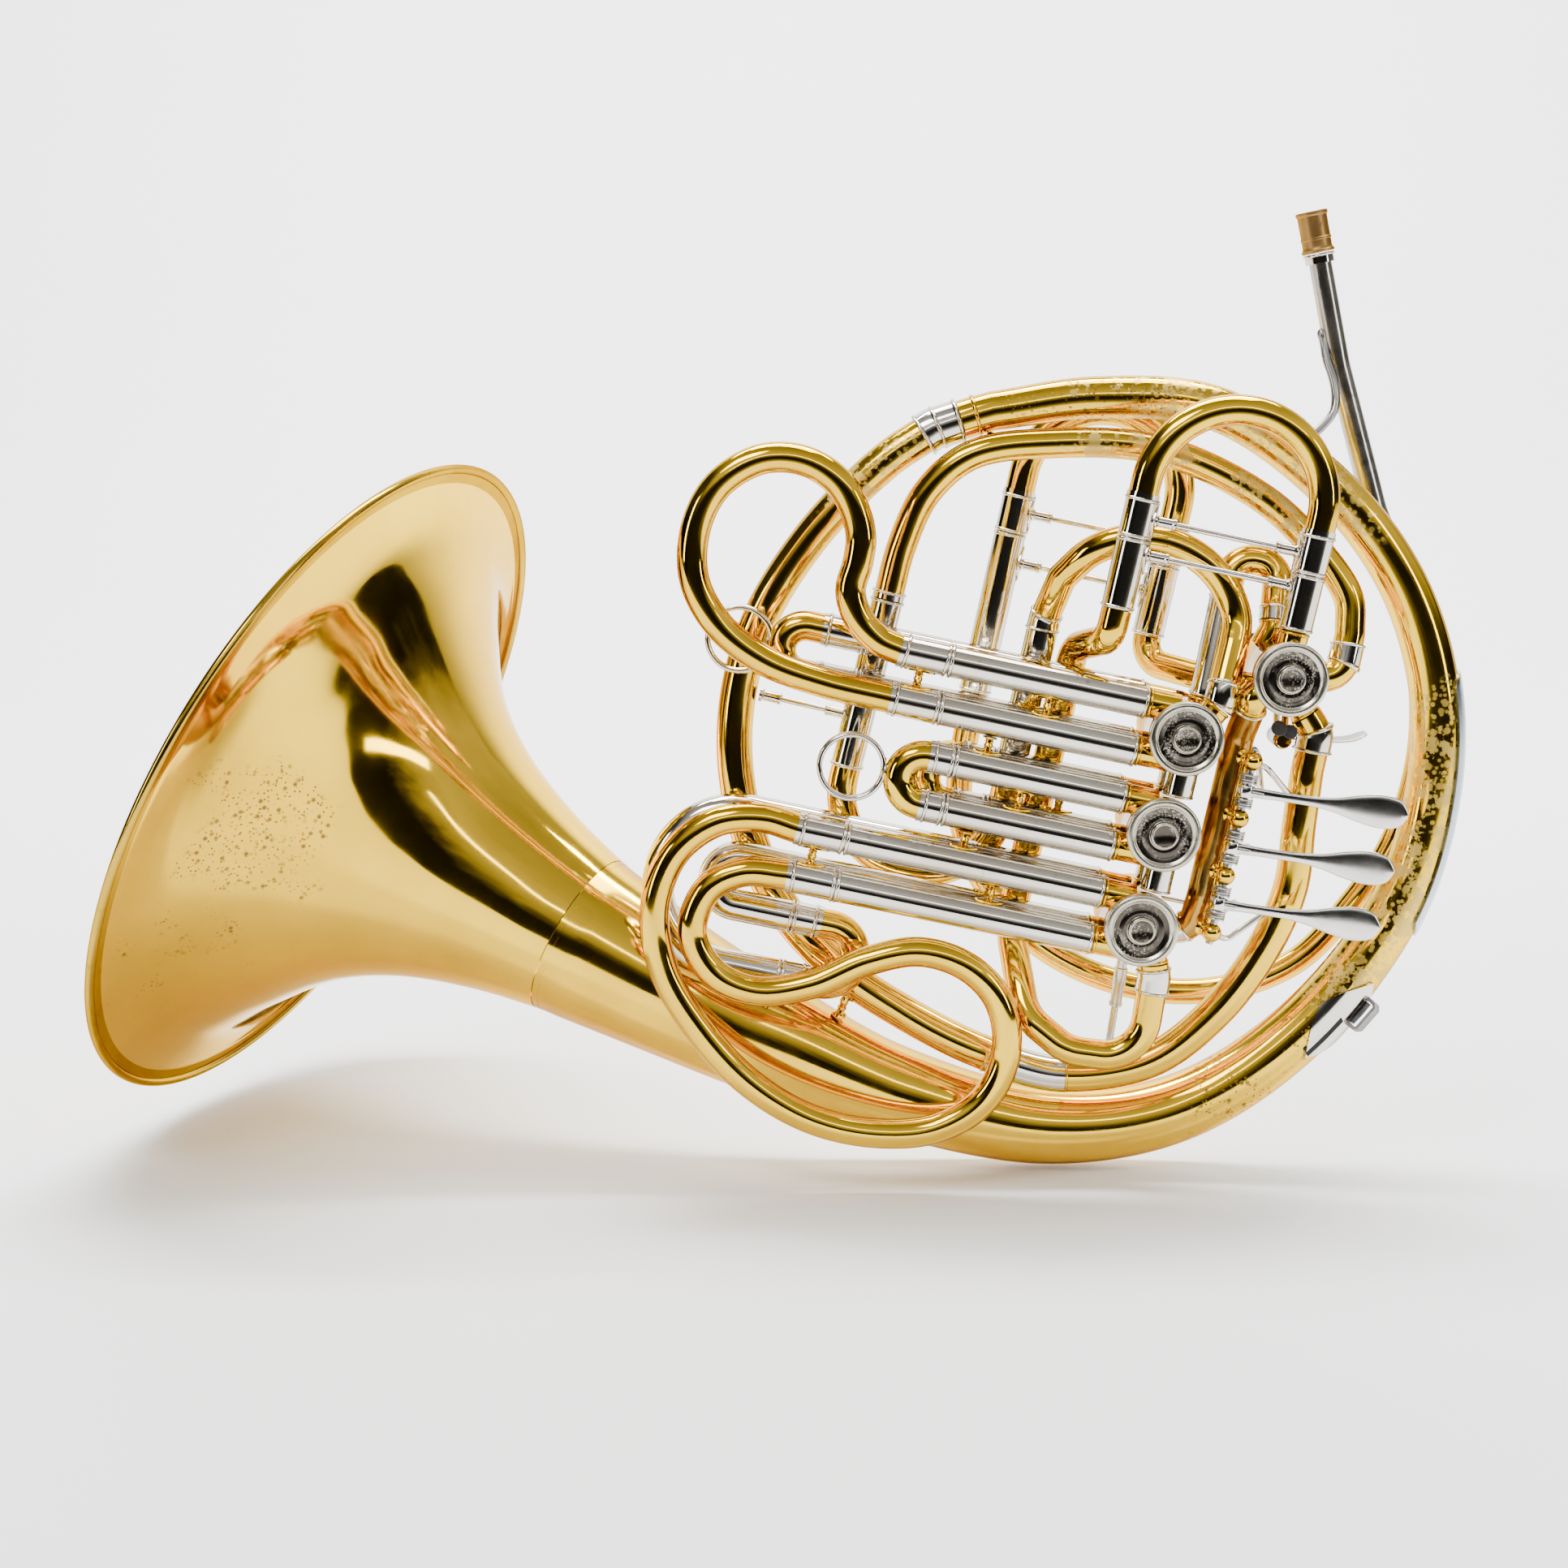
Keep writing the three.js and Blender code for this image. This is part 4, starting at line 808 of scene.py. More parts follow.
def make_fixed():
    fixed_tube("upper_band", cut_route(BAND_ROUTE, PORT), [
        (10.5, BRASS_R, "band"), (12, (6.6, 7.4), "nickel"), (18.6, 6.8, "nickel"),
        (20, (6.6, 7.4), "nickel"), (-3.4, BRASS_R, "band"), (-2, (6.5, 7.3), "nickel"),
        (None, 6.6, "nickel"),
    ], "f_branch", extra=lambda build: post(build, (-99, 7, 136.8), (-98.8, 7.9, 140.6), size=1.1))
    fixed_tube("return_tube", RETURN_ROUTE, [
        (1.4, (6.6, 7.3), "nickel"), (70, 6.5, "sleeve"), (71.6, (6.5, 7.2), "nickel"),
        (-62, BRASS_R, "brass"), (-60.4, (6.4, 7.2), "nickel"), (None, 6.5, "sleeve"),
    ], "return_loop", "nickel", return_brace)
    fixed_tube("inverted_tube", cut_route(INVERTED_ROUTE, 0, -PORT - GAP), [
        (1.4, (6.4, 7.3), "nickel"), (7, 6.7, "nickel"), (8.2, (6.4, 7.1), "nickel"),
        (-9.4, BRASS_R, "brass"), (-8, (6.3, 7.0), "nickel"), (-1.6, 6.5, "nickel"),
        (None, (6.3, 7.0), "nickel"),
    ], "inverted_crook")
    fixed_tube("small_tube", cut_route(SMALL_ROUTE, PORT + GAP, -LONG_PORT - GAP), [
        (1.2, (6.3, 6.9), "nickel"), (40.6, 6.45, "sleeve"), (42, (6.3, 7.0), "nickel"),
        (-6, BRASS_R, "brass"), (-4.6, (6.3, 6.9), "nickel"), (None, 6.4, "nickel"),
    ], "small_crook")
    fixed_tube("third_loop_tube", cut_route(THIRD_ROUTE, 0, -PORT - GAP), [
        (-12.4, BRASS_R, "brass"), (-11, (6.5, 7.4), "nickel"), (-3, 6.9, "nickel"),
        (-1.6, (6.6, 7.4), "nickel"), (None, 6.4, "brass"),
    ], "third_valve_loop")

    # The post between the third valve and the first branch.
    build = Build()
    turned(build, (0, -8, -53.6), (4, 5, -47.4), [
        (0, 0), (2.2, 0), (2.2, 8.6), (2.8, 9), (2.8, 16), (2.5, 16.6), (2.5, 24), (2.8, 24.4), (2.8, 25.4),
        (1.6, 26), (1.6, 47), (0, 47),
    ], "steel", 24)
    build.done("valve_brace", HORN)

    fixed_tube("bypass", cut_route(BYPASS_ROUTE, LONG_PORT + GAP, -PORT - GAP), [
        (1.2, (6.3, 6.9), "nickel"), (-5, BRASS_R, "brown"), (-3.8, (6.3, 6.9), "nickel"),
        (None, 6.4, "nickel"),
    ], "bypass_tube")
    route = cut_route(ELBOW_ROUTE, LONG_PORT + 5 + GAP)
    fixed_tube("elbow", route, [(None, 5.9, "brass")], "main_elbow", sides=28)


# ---------------------------------------------------------------- slides


def legs_piece(name, routes, node, extra=None):
    """The fixed outer legs of a slide: nickel tubes with a ring at each end."""
    build = Build()
    for route in routes:
        parts = [(1.5, (6.5, 7.05), "nickel"), (-1.5, SLEEVE_R, "sleeve"), (None, (6.5, 7.05), "nickel")]
        sweep(build, route, parts, LEG_BORE, 36)
    if extra:
        extra(build)
    build.done(name, HORN, [node], "nickel")


def crook_piece(name, route, inner, ferrule, node, extra=None):
    """The moving part of a slide: narrow inner legs, ferrules with raised rings, and the brass crook."""
    build = Build()
    far = inner + ferrule
    stops = [0, inner, inner + 1.5, far - 3.4, far - 1.9, far]
    looks = [
        (5.5, "inner"), ((6.5, 7.1), "nickel"), (SLEEVE_R, "nickel"), ((6.5, 7.25), "nickel"),
        (6.75, "nickel"),
    ]
    first = [(end, *look) for end, look in zip(stops[1:], looks)]
    mirrored = [(-start if start else None, *look) for start, look in reversed(list(zip(stops, looks)))]
    sweep(build, route, first + [(-far, BRASS_R, "brass")] + mirrored, CROOK_BORE, 36)
    if extra:
        extra(build)
    build.done(name, node, [node], "brass")


LEG_START = -17
RING_RADIUS, RING_WIRE = 13, 1.15


def slide_foot(build, u, depth, w, way):
    """The small plate on which a post stands."""
    flange(build, (u, depth, w), (1, 0, 0), (0, 0, way), SLEEVE_R, 6.5, 3.2, "brass", 0.5)


def post_between(build, u, depth, w, reach=SLEEVE_R - 0.6):
    post(build, (u, depth, w + LEG - reach), (u, depth, w - LEG + reach))
    for side in (1, -1):
        slide_foot(build, u, depth, w + side * LEG, -side)


def post_above(build, u, w):
    post(build, (u, FRONT, w + SLEEVE_R - 0.6), (u, FRONT, w + PITCH / 2 - SLEEVE_R - 0.4))
    slide_foot(build, u, FRONT, w, 1)


def pull_ring(build, centre, foot):
    """Two turns of wire side by side, with a pointed saddle on the crook."""
    for depth in (RING_WIRE, -RING_WIRE):
        wire_loop(build, centre, RING_RADIUS, RING_WIRE, "nickel", depth)
    flange(build, foot, UP, (-1, 0, 0), BRASS_R, 6.0, 3.0, "nickel", 0.8)


# For each level slide: its valve, its depth, the end of its legs, the length of its inner legs and ferrules,
# where a post joins its legs and where its crook turns. Some also have a curved course as (u, w), a second
# post above, a post on the crook, or a pull ring's distance from the crook and its drop.
LEVEL = {
    "f1": dict(
        valve=1, depth=FRONT, joint=-98.6, inner=66, ferrule=20, leg_post=-55.7, turn=-118.6, crook_post=-109,
        curve=[
            (-127.5, 51.6), (-137, 58), (-143, 68.5), (-142.5, 81), (-144.2, 93), (-155, 108.5),
            (-171, 115.2), (-188.5, 112.4), (-203.5, 98.5), (-208.5, 80), (-204.8, 60), (-191.5, 44.2),
            (-171, 34.2), (-146, 30.4),
        ],
    ),
    "f2": dict(
        valve=2, depth=FRONT, joint=-88, inner=56, ferrule=10, leg_post=-58.6, turn=-108.2, upper_post=-75.5,
        ring=(13.2, 0.5),
    ),
    "f3": dict(
        valve=3, depth=FRONT, joint=-124, inner=80, ferrule=20, leg_post=-61.4, turn=-144, upper_post=-76.5,
        crook_post=-135.5, curve=[
            (-158, -28.6), (-176, -34), (-190, -50), (-193.5, -74), (-185, -98), (-166.5, -119),
            (-142, -137), (-114, -147.2), (-86, -147.8), (-61.5, -140.5), (-45, -124.5), (-40.5, -102.5),
            (-48.5, -82.5), (-64, -71.6), (-84, -69.4), (-104, -77.5), (-124, -91.5), (-146, -99.3),
            (-164.5, -95.5), (-176.5, -81), (-174, -62), (-161.5, -52),
        ],
    ),
    "b1": dict(
        valve=1, depth=REAR, joint=-132, inner=70, ferrule=18, leg_post=-60, turn=-165, ring=(11, 1.1),
    ),
    "b2": dict(valve=2, depth=REAR, joint=-70, inner=42, ferrule=14, leg_post=-40, turn=-96),
}


def make_level_slide(
    name, valve, depth, joint, inner, ferrule, leg_post, turn,
    curve=(), upper_post=None, crook_post=None, ring=None,
):
    middle = VALVES[valve][1]
    upper, lower = middle + LEG, middle - LEG

    def on_legs(build):
        post_between(build, leg_post, depth, middle)
        if upper_post:
            post_above(build, upper_post, upper)

    def on_crook(build):
        if crook_post:
            post_between(build, crook_post, depth, middle, SLEEVE_R - 0.8)
        if ring:
            centre = (turn - BRASS_R - ring[0], depth, middle - ring[1])
            pull_ring(build, centre, (turn, depth, middle))

    legs = [[Vector((LEG_START, depth, w)), Vector((joint + GAP, depth, w))] for w in (upper, lower)]
    start, end = Vector((joint + inner, depth, upper)), Vector((joint + inner, depth, lower))
    if curve:
        course = [(turn, depth, upper)] + [(u, depth, w) for u, w in curve] + [(turn, depth, lower)]
        route = chain([start, v(course[0])], smooth(course), [end])
    else:
        route = bent(start, (turn, depth, upper, LEG), (turn, depth, lower, LEG), end)
    legs_piece(name + "_legs", legs, f"slide_{name}_legs", on_legs)
    crook_piece(name + "_crook", route, inner, ferrule, f"slide_{name}_crook", on_crook)


def make_third_flat_slide():
    """Its legs turn up behind the ring, so that the crook faces the valves."""
    middle = VALVES[3][1]
    high, low, turn, joint = -69.8, -95.2, -162.0, -137.0
    near, far = turn - 10.1, turn - 32.7
    legs = [
        bent((LEG_START, REAR, middle - LEG), (near, REAR, middle - LEG, 10.05), (near, REAR, high, 10.05),
             (joint - GAP, REAR, high)),
        bent((LEG_START, REAR, middle + LEG), (far, REAR, middle + LEG, 32.6), (far, REAR, low, 32.6),
             (joint - GAP, REAR, low)),
    ]
    legs_piece("b3_legs", legs, "slide_b3_legs", lambda build: post_between(build, -60, REAR, middle))
    start = joint - 22
    route = bent((start, REAR, high), (-108, REAR, high, 12.65), (-108, REAR, low, 12.65), (start, REAR, low))
    crook_piece("b3_crook", route, 22, 12, "slide_b3_crook")


UPRIGHT = {
    "tuning_f": dict(
        left=-37.3, right=34.4, depth=FRONT, joint=113.0, crown=135.3, left_foot=84.0, right_foot=90.0,
        inner=22.0, crook_brace=121.0, leg_brace=107.0,
    ),
    "tuning_main": dict(
        left=-80.4, right=-14.5, depth=BACK, joint=102.0, crown=127.0, left_foot=33.4, right_foot=71.8,
        inner=28.0, crook_brace=111.0, leg_brace=90.0,
    ),
}


def make_upright_slide(
    name, left, right, depth, joint, crown, left_foot, right_foot, inner, crook_brace, leg_brace
):
    def brace(build, w):
        brace_rod(build, (left + SLEEVE_R - 0.4, depth, w), (right - SLEEVE_R + 0.4, depth, w))
        flange(build, (left, depth, w), UP, (1, 0, 0), SLEEVE_R)
        flange(build, (right, depth, w), UP, (-1, 0, 0), SLEEVE_R)

    legs = [
        [Vector((u, depth, foot)), Vector((u, depth, joint - GAP))]
        for u, foot in ((left, left_foot), (right, right_foot))
    ]
    legs_piece(name + "_outer", legs, name + "_legs", lambda build: brace(build, leg_brace))
    radius = (right - left) / 2
    top = crown + radius
    route = bent(
        (left, depth, joint - inner), (left, depth, top, radius - 0.02), (right, depth, top, radius - 0.02),
        (right, depth, joint - inner), step=4,
    )
    crook_piece(name + "_bow", route, inner, 18, name + "_crook", lambda build: brace(build, crook_brace))


# ---------------------------------------------------------------- valves

PINS = {1: -45, 2: -45, 3: 45, 4: -135}
PIN_REACH = 7.5


def stub_routes(valve):
    """The short ends of the tubes that are part of a valve's casing."""
    u, w = VALVES[valve]

    def local(route, length, back=False):
        return cut_route(list(reversed(route)) if back else route, 0, length)

    own = {
        1: [local(INVERTED_ROUTE, PORT, True), local(SMALL_ROUTE, PORT)],
        2: [],
        3: [local(THIRD_ROUTE, PORT, True), local(BYPASS_ROUTE, PORT, True)],
        4: [
            local(BRANCH_ROUTE, 7.5), local(BAND_ROUTE, PORT - GAP), local(SMALL_ROUTE, LONG_PORT, True),
            local(BYPASS_ROUTE, LONG_PORT), local(ELBOW_ROUTE, LONG_PORT + 5),
            [Vector((34.4, FRONT, w + 10)), Vector((34.4, FRONT, w + 18))],
        ],
    }[valve]
    if valve < 4:
        for depth in (FRONT, REAR):
            for z in (w + LEG, w - LEG):
                own.append([Vector((u - 4, depth, z)), Vector((u - 16.7, depth, z))])
    return own


CASING = [
    (14.3, -36), (14.3, -34.6), (14.05, -34.2), (14.05, -30.8), (14.3, -30.4), (14.3, -29.8), (14.1, -29.4),
    (14.1, 4), (14.3, 4.4), (14.3, 5.2), (14.05, 5.6), (14.05, 6.6), (14.3, 7), (14.3, 9), (13.6, 10),
    (9, 10), (8.8, 9.2), (6.5, 9.2), (6.3, 10), (4, 10), (4, 6), (12.9, 6), (12.9, -36), (14.3, -36),
]
CAP_FACE = [
    (0, -41.0), (4.3, -41.0), (4.45, -41.15), (4.9, -41.2), (5.3, -41.0), (5.6, -40.5), (5.75, -39.0),
    (6.0, -38.9), (6.3, -39.0), (8.9, -39.0), (9.05, -38.85), (9.25, -38.85), (9.4, -39.0), (11.3, -39.0),
]
CAP_EDGE = [
    (11.6, -39.1), (12.2, -39.8), (12.9, -40.1), (13.6, -40.1), (14.3, -39.9), (14.75, -39.5), (14.9, -39),
    (14.9, -38.4), (14.7, -38.1), (14.9, -37.8), (14.9, -36.5), (14.75, -36.3), (12.4, -36.3), (12.4, -34.4),
    (0, -34.4),
]
CAP_KEYS = ["cap"] * 2 + ["cap_rim"] * 5 + ["cap"] * (len(CAP_FACE) - 8) + ["cap_rim"] * len(CAP_EDGE)


def make_casing(valve, u, w):
    build = Build()
    turned(build, (u, 0, w), DEEP, CASING, "brass", 56)
    for route in stub_routes(valve):
        sweep(build, route, [(-1.4, 5.9, "brass"), (None, (5.8, 6.35), "brass")], BORE, 32)
    if valve < 3:
        # The joined knuckles that lead to the next valve.
        for depth in (FRONT, REAR):
            route = [Vector((3.6, depth, w - 10)), Vector((3.6, depth, w - PITCH + 14.8))]
            sweep(build, route, [
                (3.6, 5.9, "brass"), (4.8, (6.0, 6.6), "nickel"), (-1.2, 6.2, "nickel"),
                (None, (6.0, 6.6), "nickel"),
            ], BORE, 32)
    build.done(f"casing_{valve}", HORN, [f"valve_casing_{valve}"], "brass")


def make_valve(valve, u, w):
    centre = (u, 0, w)
    build = Build()
    turned(build, centre, DEEP, CAP_FACE + CAP_EDGE, "cap", 72, CAP_KEYS)
    build.done(f"cap_{valve}", HORN, [f"valve_cap_{valve}"], "cap", 50)

    build = Build()
    turned(build, centre, DEEP, [
        (0, -33.5), (12.2, -33.5), (12.2, 5.2), (3.5, 5.2), (3.5, 18.2), (3.1, 18.6), (0, 18.6),
    ], "steel", 40)
    build.done(f"rotor_core_{valve}", f"rotor_{valve}", [f"rotor_{valve}"], "brass")

    # The stop arm's hub and end, the pin and the screw.
    build = Build()
    a = math.radians(PINS[valve])
    pin = Vector((u + PIN_REACH * math.cos(a), 0, w + PIN_REACH * math.sin(a)))
    turned(build, centre, DEEP, [
        (3.6, 14.6), (5.2, 14.6), (5.4, 14.8), (5.4, 17.2), (5.2, 17.4), (3.6, 17.4), (3.6, 14.6),
    ], "steel", 32)
    turned(build, pin, DEEP, [
        (0, 14.7), (2.6, 14.7), (2.8, 14.9), (2.8, 17.1), (2.6, 17.3), (0, 17.3),
    ], "steel", 24)
    turned(build, pin, DEEP, [(0, 17.2), (1.3, 17.2), (1.3, 20.6), (1.1, 21), (0, 21)], "steel", 16)
    turned(build, centre, DEEP, [
        (0, 18.65), (2.9, 18.65), (3.0, 18.9), (2.8, 19.8), (2.4, 20.2), (0.0, 20.3),
    ], "steel", 28)
    build.done(f"arm_{valve}", f"rotor_{valve}", [f"stop_arm_{valve}"], "steel")

    # The link: an eye on the pin and a rod towards the lever's arm.
    build = Build()
    reach = 7.4 if valve == 4 else 29
    turned(build, pin, DEEP, [
        (1.6, 18.2), (2.8, 18.2), (3.0, 18.4), (3.0, 20.2), (2.8, 20.4), (1.6, 20.4), (1.6, 18.2),
    ], "steel", 28)
    wire(build, [pin + Vector((2.6, 19.3, 0)), pin + Vector((reach, 19.3, 0))], 1.15, "steel", 14)
    build.done(f"link_rod_{valve}", f"link_{valve}", [f"link_{valve}"], "steel")

    # Cork stops on the rear plate.
    build = Build()
    lift = -9.2 if valve == 3 else 9.2
    for side in (1, -1):
        turned(build, (u + side * 9.2, 0, w + lift), DEEP, [
            (0, 10.02), (2.3, 10.02), (2.4, 10.3), (2.4, 13.4), (2.2, 13.7), (0, 13.7),
        ], "cork", 20)
    build.done(f"corks_{valve}", HORN)


# ---------------------------------------------------------------- levers

AXLE_U, AXLE_Y = 30.0, -27.0
LEVER_W = [-0.7 + k * 23.6 for k in (1, 0, -1)]
POST_W = [-0.7 + k * 24 for k in (1.5, 0.5, -0.5, -1.5)]
PADDLE = [
    (1.0, 2.1), (4, 2.1), (12, 1.9), (24, 1.95), (35, 3.0), (46, 5.6), (55, 6.9), (61, 6.2), (64.4, 4.0),
    (65.8, 1.8), (66.2, 0.001),
]


def add_paddle(build, origin):
    """A finger plate: a flat oval in section, thin at the hinge and wide near its end."""
    slant = math.radians(3.5)
    rows = []
    for step in range(41):
        u = 1.0 + 65.2 * step / 40
        half = between(PADDLE, u)
        swell = 0.35 * max(0.0, min(1.0, (u - 26) / 20))
        ring = []
        for k in range(24):
            a = 2 * math.pi * k / 24
            z = half * rounded(math.cos(a), 0.75)
            y = -2.15 - 0.95 * rounded(math.sin(a), 0.7) - 0.6 * swell * (1 - (z / 7) ** 2)
            along = u * math.cos(slant) - z * math.sin(slant)
            rise = u * math.sin(slant) + z * math.cos(slant)
            ring.append(world(origin + Vector((along, y, rise))))
        rows.append(ring)
    build.grid([[rows[0][0].copy() for _ in rows[0]]] + rows, ["lever"] * len(rows))


def make_lever(valve, w):
    build = Build()
    origin = Vector((AXLE_U, AXLE_Y, w))
    add_paddle(build, origin)
    turned(build, origin, UP, [
        (2.0, -2.4), (3.3, -2.4), (3.5, -2.1), (3.5, 2.1), (3.3, 2.4), (2.0, 2.4), (2.0, -2.4),
    ], "lever", 32)
    rise = VALVES[valve][1] + PIN_REACH * math.sin(math.radians(PINS[valve])) - w
    arm = bent((2, -2, 0), (8, -2, 0, 2.5), (8, 10, 0, 6), (8, 34, rise, 6), (8, 46.5, rise))
    wire(build, [origin + p for p in arm], 1.45, "lever", 14)
    turned(build, origin + Vector((8, 46.2, rise)), DEEP, [
        (0, -2.6), (2.0, -2.6), (2.2, -2.2), (2.2, 0.0), (1.8, 0.4), (0, 0.4),
    ], "steel", 20)
    build.done(f"paddle_{valve}", f"lever_{valve}", [f"lever_{valve}"], "nickel", 45)

    # A coil spring on either side of the hub.
    build = Build()
    turns = 4
    angles = [2 * math.pi * k / 20 for k in range(turns * 20 + 1)]
    spokes = [Vector((math.cos(t), math.sin(t), 0)) for t in angles]
    for start, end in ((w + 3.1, w + 7.0), (w - 6.8, w - 3.1)):
        pitch = (end - start) / (2 * math.pi * turns)
        coil = [Vector((AXLE_U, AXLE_Y, start + pitch * t)) + 3.5 * spoke for t, spoke in zip(angles, spokes)]
        wire(build, coil, 0.42, "coil", 8)
    build.done(f"spring_{valve}", HORN, [f"lever_spring_{valve}"], "steel")


def make_rail():
    """The posts with their balls, the rail, the axle and the rail's two wires."""
    build = Build()
    foot = Vector((25, -14, 0))
    reach = Vector((AXLE_U, AXLE_Y, 0)) - foot
    span = reach.length
    reach.normalize()
    top, bottom = POST_W[0], POST_W[3]
    ball = [(4.0 * math.sin(a), -4.0 * math.cos(a)) for a in (math.radians(d) for d in range(0, 181, 10))]
    for w in POST_W:
        turned(build, foot + Vector((0, 0, w)), reach, [
            (0, 6.3), (3.4, 6.3), (3.3, 6.9), (2.2, 7.6), (1.9, 8.4), (2.4, 8.9), (2.4, 9.3), (1.9, 9.7),
            (2.3, span - 2), (0, span - 2),
        ], "brass", 24)
        turned(build, (AXLE_U, AXLE_Y, w), UP, ball, "brass", 32)
    rail = foot + reach * 8
    wire(build, [rail + Vector((0, 0, bottom + 2)), rail + Vector((0, 0, top - 2))], 1.1, "brass", 12)
    turned(build, (AXLE_U, AXLE_Y, 0), UP, [
        (0, bottom - 4.8), (1.3, bottom - 4.8), (1.6, bottom - 4.5), (1.6, top + 4.5), (1.3, top + 4.8),
        (0, top + 4.8),
    ], "steel", 20)
    for w, end in ((top, (54, -10, 20.5)), (bottom, (54, -9, -26))):
        route = bent((AXLE_U, AXLE_Y + 0.5, w), (AXLE_U + 7, AXLE_Y + 2, w - 2, 5), end)
        wire(build, route, 1.25, "nickel", 14)
    build.done("rail", HORN, ["lever_rail"], "brass")


def make_thumb():
    hub = Vector((46, 0, 43))
    build = Build()
    top = smooth([(3, 0, 1.6), (12, 0, 3.1), (22, 0, 4.4), (29, 0, 6.4), (34.4, 0, 9.8)], 1.2)
    rows = []
    for i, point in enumerate(top):
        t = i / (len(top) - 1)
        half = 7.5 - 2.2 * max(0.0, (t - 0.8) / 0.2) ** 2 - 3.2 * max(0.0, (0.25 - t) / 0.25) ** 1.5
        ring = []
        for k in range(24):
            a = 2 * math.pi * k / 24
            y = 12 + half * rounded(math.cos(a), 0.6)
            z = -0.8 + 0.75 * rounded(math.sin(a), 0.6)
            ring.append(world(hub + Vector((point.x, y, point.z + z))))
        rows.append(ring)
    build.grid(closed_ends(rows), ["lever"] * (len(rows) + 1))
    turned(build, hub, DEEP, [
        (2.0, 4), (3.8, 4), (4, 4.3), (4, 19.9), (3.8, 20.2), (2.0, 20.2), (2.0, 4),
    ], "lever", 32)
    arm_end = hub + Vector((-5.2, 19.3, 23.3))
    wire(build, [hub + Vector((0, 19.3, 0)), arm_end], 1.45, "lever", 14)
    turned(build, arm_end, DEEP, [
        (0, -1.5), (2, -1.5), (2.2, -1.2), (2.2, 1.2), (2, 1.5), (0, 1.5),
    ], "steel", 20)
    build.done("thumb_paddle", "thumb_lever", ["thumb_lever"], "nickel", 45)

    build = Build()
    wire(build, [hub + Vector((0, 2, 0)), Vector((43.4, 2, 59))], 1.6, "brass", 14)
    turned(build, hub, DEEP, [
        (0, 0.4), (2.9, 0.4), (3.2, 0.8), (3.2, 3.3), (2.9, 3.6), (1.6, 3.6), (1.6, 20.8), (3, 20.8),
        (3, 21.9), (2.6, 22.4), (0, 22.4),
    ], "brass", 28)
    build.done("thumb_post", HORN, ["thumb_bracket"], "brass")

    # Cork and rubber bumpers beside the fourth valve.
    build = Build()
    for u, y, w, size in ((39.0, -14, 49.6, 3.1), (44.7, -9, 48.6, 2.9)):
        turned(build, (u, y, w), (0, -1, 0), [
            (0, 0), (1.6, 0), (1.6, 3), (size, 3.2), (size, 5.4), (size - 0.4, 6.0), (0, 6.2),
        ], "cork", 28)
    build.done("thumb_bumpers", HORN)


# ---------------------------------------------------------------- guards on the ring


STRAP_SECTION = [
    (-1, -1), (-1, 1), (-0.86, 1.15), (0.86, 1.15), (1, 1), (1, -1), (0.86, -1.15), (-0.86, -1.15),
]
RING_MIDDLE = Vector((-5, RING, 20))


def strap(build, route, side, wide, thick, key):
    """A flat strip bent along a route."""
    side = Vector(side).normalized()
    rows = []
    for i, point in enumerate(route):
        normal = direction_at(route, i).cross(side).normalized()
        rows.append([world(point + side * x * wide / 2 + normal * y * thick / 2) for x, y in STRAP_SECTION])
    build.grid(closed_ends(rows), [key] * (len(rows) + 1))


def shell_piece(start, end, side, spread, key, pointed):
    """A thin plate wrapped round one side of the ring tube."""
    route = cut_route(TAIL_ROUTE, start, end)
    track = Track(route)
    build = Build()
    rows = []
    for s in [track.total * k / 40 for k in range(41)]:
        t = abs(2 * s / track.total - 1)
        share = 1 - t**1.6 if pointed else 1 - 0.8 * max(0.0, (t - 0.9) / 0.1) ** 2
        i = min(range(len(route)), key=lambda k: abs(track.reach[k] - s))
        centre = cut_route(route, 0, max(s, 0.05))[-1]
        along = track.along[i]
        out = Vector(side(centre))
        out = (out - along * out.dot(along)).normalized()
        cross = along.cross(out)
        radius = tail_radius(start + s)
        angles = [math.radians(spread) * share * (k / 15 - 1) for k in range(31)]
        spokes = [out * math.cos(a) + cross * math.sin(a) for a in angles]
        outer = [world(centre + spoke * (radius + 1.25)) for spoke in spokes]
        rows.append(outer + [world(centre + spoke * (radius + 0.06)) for spoke in reversed(spokes)])
    build.grid(closed_ends(rows), [key] * (len(rows) + 1))
    return build


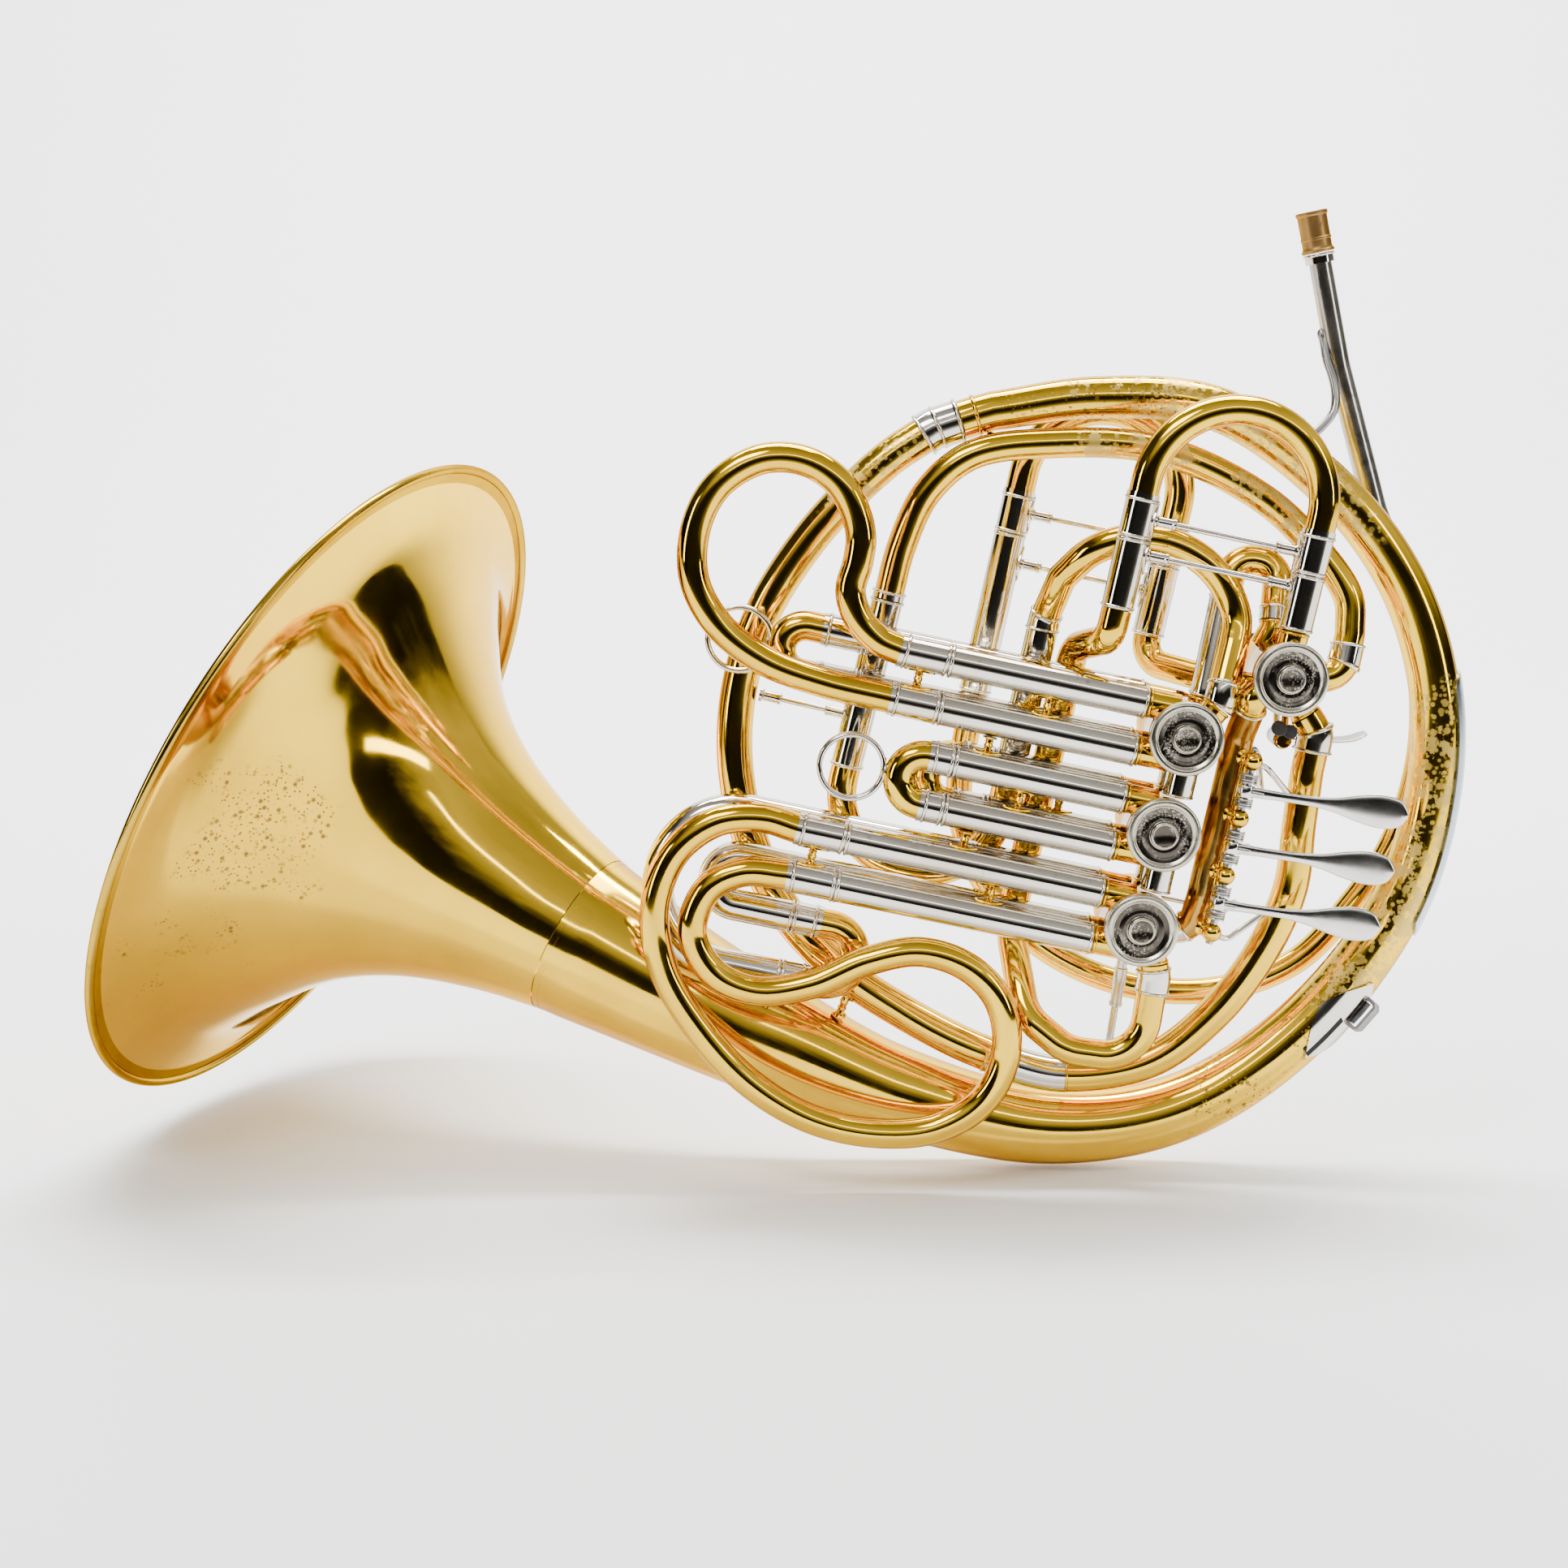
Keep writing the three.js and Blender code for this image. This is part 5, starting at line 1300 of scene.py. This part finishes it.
def make_guards():
    build = shell_piece(395, 502, lambda c: c - RING_MIDDLE, 52, "guard", False)
    build.done("guard", HORN, ["ring_guard"], "nickel")

    def toward(c, share):
        """Out of the ring's front, and a little away from its middle."""
        return Vector((0, -1, 0)) + (c - RING_MIDDLE).normalized() * share

    build = shell_piece(330, 371, lambda c: toward(c, 0.55), 50, "nickel", True)
    # The plate's slot is a dark strip laid on it: painted shade in the opening.
    slot = []
    for s in (334, 338, 342, 346, 350, 353):
        point = TAIL_ROUTE[near_on(TAIL_ROUTE, cut_route(TAIL_ROUTE, 0, s)[-1])]
        slot.append(point + toward(point, 0.4).normalized() * (tail_radius(s) + 1.15))
    strap(build, slot, slot[0] - RING_MIDDLE, 3.6, 0.5, "cork")

    # The hook: a bridge of flat strip, and the dark pad under it.
    i = near_on(TAIL_ROUTE, (94.5, RING, -58.5))
    along = direction_at(TAIL_ROUTE, i)
    sideways = along.cross(Vector(DEEP)) * 0.82
    if sideways.dot(TAIL_ROUTE[i] - RING_MIDDLE) < 0:
        sideways = -sideways
    out = (sideways + Vector((0, -0.57, 0))).normalized()
    foot = TAIL_ROUTE[i] + out * (tail_radius(reach_of(TAIL_ROUTE)[i]) + 0.6)
    bridge = [(-6.8, 0), (-6.6, 3.6), (-5.4, 4.8), (5.4, 4.8), (6.6, 3.6), (6.8, 0)]
    strap(build, [foot + along * s + out * h for s, h in bridge], along.cross(out), 7.4, 1.3, "pewter")
    pad = [(-5.4, 0.7), (0, 0.9), (5.4, 0.7)]
    strap(build, [foot + along * s + out * h for s, h in pad], along.cross(out), 6.0, 0.5, "cork")
    build.done("saddle_plate", HORN, ["hook_plate"], "nickel")


make_bell()
make_tail()
make_branch()
make_leadpipe()
make_fixed()
for slide_name, slide in LEVEL.items():
    make_level_slide(slide_name, **slide)
make_third_flat_slide()
for slide_name, slide in UPRIGHT.items():
    make_upright_slide(slide_name, **slide)
for number, (u, w) in VALVES.items():
    make_casing(number, u, w)
    make_valve(number, u, w)
for number, w in enumerate(LEVER_W, 1):
    make_lever(number, w)
make_rail()
make_thumb()
make_guards()


# ---------------------------------------------------------------- stage, light and camera


def make_stage():
    """A pale floor that curves up into a wall behind."""
    n = Nodes(bpy.data.materials.new("paper"))
    n.use("Base Color", n.mix(n.noise(3.0, 3.0), (0.86, 0.865, 0.87, 1), (0.9, 0.9, 0.9, 1)))
    n.use("Roughness", 0.65)
    angles = [math.radians(a) for a in range(6, 91, 6)]
    profile = [(-0.66, 0.0), (1.1, 0.0)]
    profile += [(1.1 + 1.2 * math.sin(a), 1.2 - 1.2 * math.cos(a)) for a in angles]
    profile += [(2.3, 3.4)]
    verts = [(x, y, z - 0.0012) for y, z in profile for x in (-4.0, 4.0)]
    faces = [(2 * i, 2 * i + 1, 2 * i + 3, 2 * i + 2) for i in range(len(profile) - 1)]
    data = bpy.data.meshes.new("floor")
    data.from_pydata(verts, [], faces)
    data.materials.append(n.owner)
    for face in data.polygons:
        face.use_smooth = True
    floor = bpy.data.objects.new("floor", data)
    bpy.context.scene.collection.objects.link(floor)


def area(name, place, target, size, power, colour=(1, 1, 1)):
    data = bpy.data.lights.new(name, "AREA")
    data.shape = "RECTANGLE"
    data.size, data.size_y = size
    data.energy = power
    data.color = colour
    lamp = bpy.data.objects.new(name, data)
    lamp.location = place
    lamp.rotation_euler = (Vector(target) - Vector(place)).to_track_quat("-Z", "Y").to_euler()
    bpy.context.scene.collection.objects.link(lamp)


ROOM_LEVELS = [
    (0.0, 0.7), (0.30, 0.65), (0.37, 0.2), (0.42, 0.02), (0.57, 0.012), (0.61, 0.12), (0.66, 0.5),
    (0.74, 0.85), (0.85, 0.6), (1.0, 0.35),
]
WALL = (1.8, 1.8, 1.8, 1)


def make_world():
    """A soft white room above and below, with a darker front at eye level and a dimmer left side. Looked at
    straight, it is a plain pale wall."""
    room = bpy.data.worlds.new("room")
    n = Nodes(room, "Background")
    split = n.add("ShaderNodeSeparateXYZ", {"Vector": n.place("Generated")})
    ragged = n.spread(n.noise(3.5, 8.0, 0.72, "Generated"), 0.0, 1.0, -0.2, 0.2)
    height = n.spread(n.math("ADD", split.outputs["Z"], ragged), -1.0, 1.0, 0.0, 1.0)
    stops = [(place, (level, level * 0.975, level * 0.92, 1)) for place, level in ROOM_LEVELS]
    levels = n.ramp(height, stops)
    shade = n.spread(n.math("ADD", split.outputs["X"], ragged), -0.72, -0.5, 0.06, 1.0)
    dimmed = n.add("ShaderNodeVectorMath", {0: levels, "Scale": shade}, operation="SCALE")
    seen = n.add("ShaderNodeLightPath", {})
    n.use("Color", n.mix(seen.outputs["Is Camera Ray"], dimmed.outputs[0], WALL))
    n.use("Strength", 1.0)
    bpy.context.scene.world = room


make_stage()
make_world()
middle = (-0.1, 0.05, 0.17)
area("key", (-0.9, -1.3, 1.9), middle, (1.0, 0.6), 24)
area("strip", (0.3, -1.9, 1.15), middle, (2.4, 0.07), 5)
area("window_left", (-1.7, -0.9, 0.55), middle, (0.26, 0.9), 8)
area("window_right", (1.5, -0.9, 0.6), middle, (0.18, 0.9), 6, (1.0, 0.985, 0.96))
area("top", (0.0, 0.4, 2.2), middle, (1.6, 0.9), 56)
area("backdrop", (0.0, 0.9, 2.6), (0.0, 2.2, 0.8), (3.0, 0.6), 250)

camera_data = bpy.data.cameras.new("camera")
camera_data.lens = 64.29
camera_data.sensor_width = 36
camera_data.clip_start = 0.05
camera = bpy.data.objects.new("camera", camera_data)
camera.location = (-0.11853, -1.15209, 0.34592)
camera.rotation_euler = (math.radians(81), 0, 0)
bpy.context.scene.collection.objects.link(camera)
bpy.context.scene.camera = camera
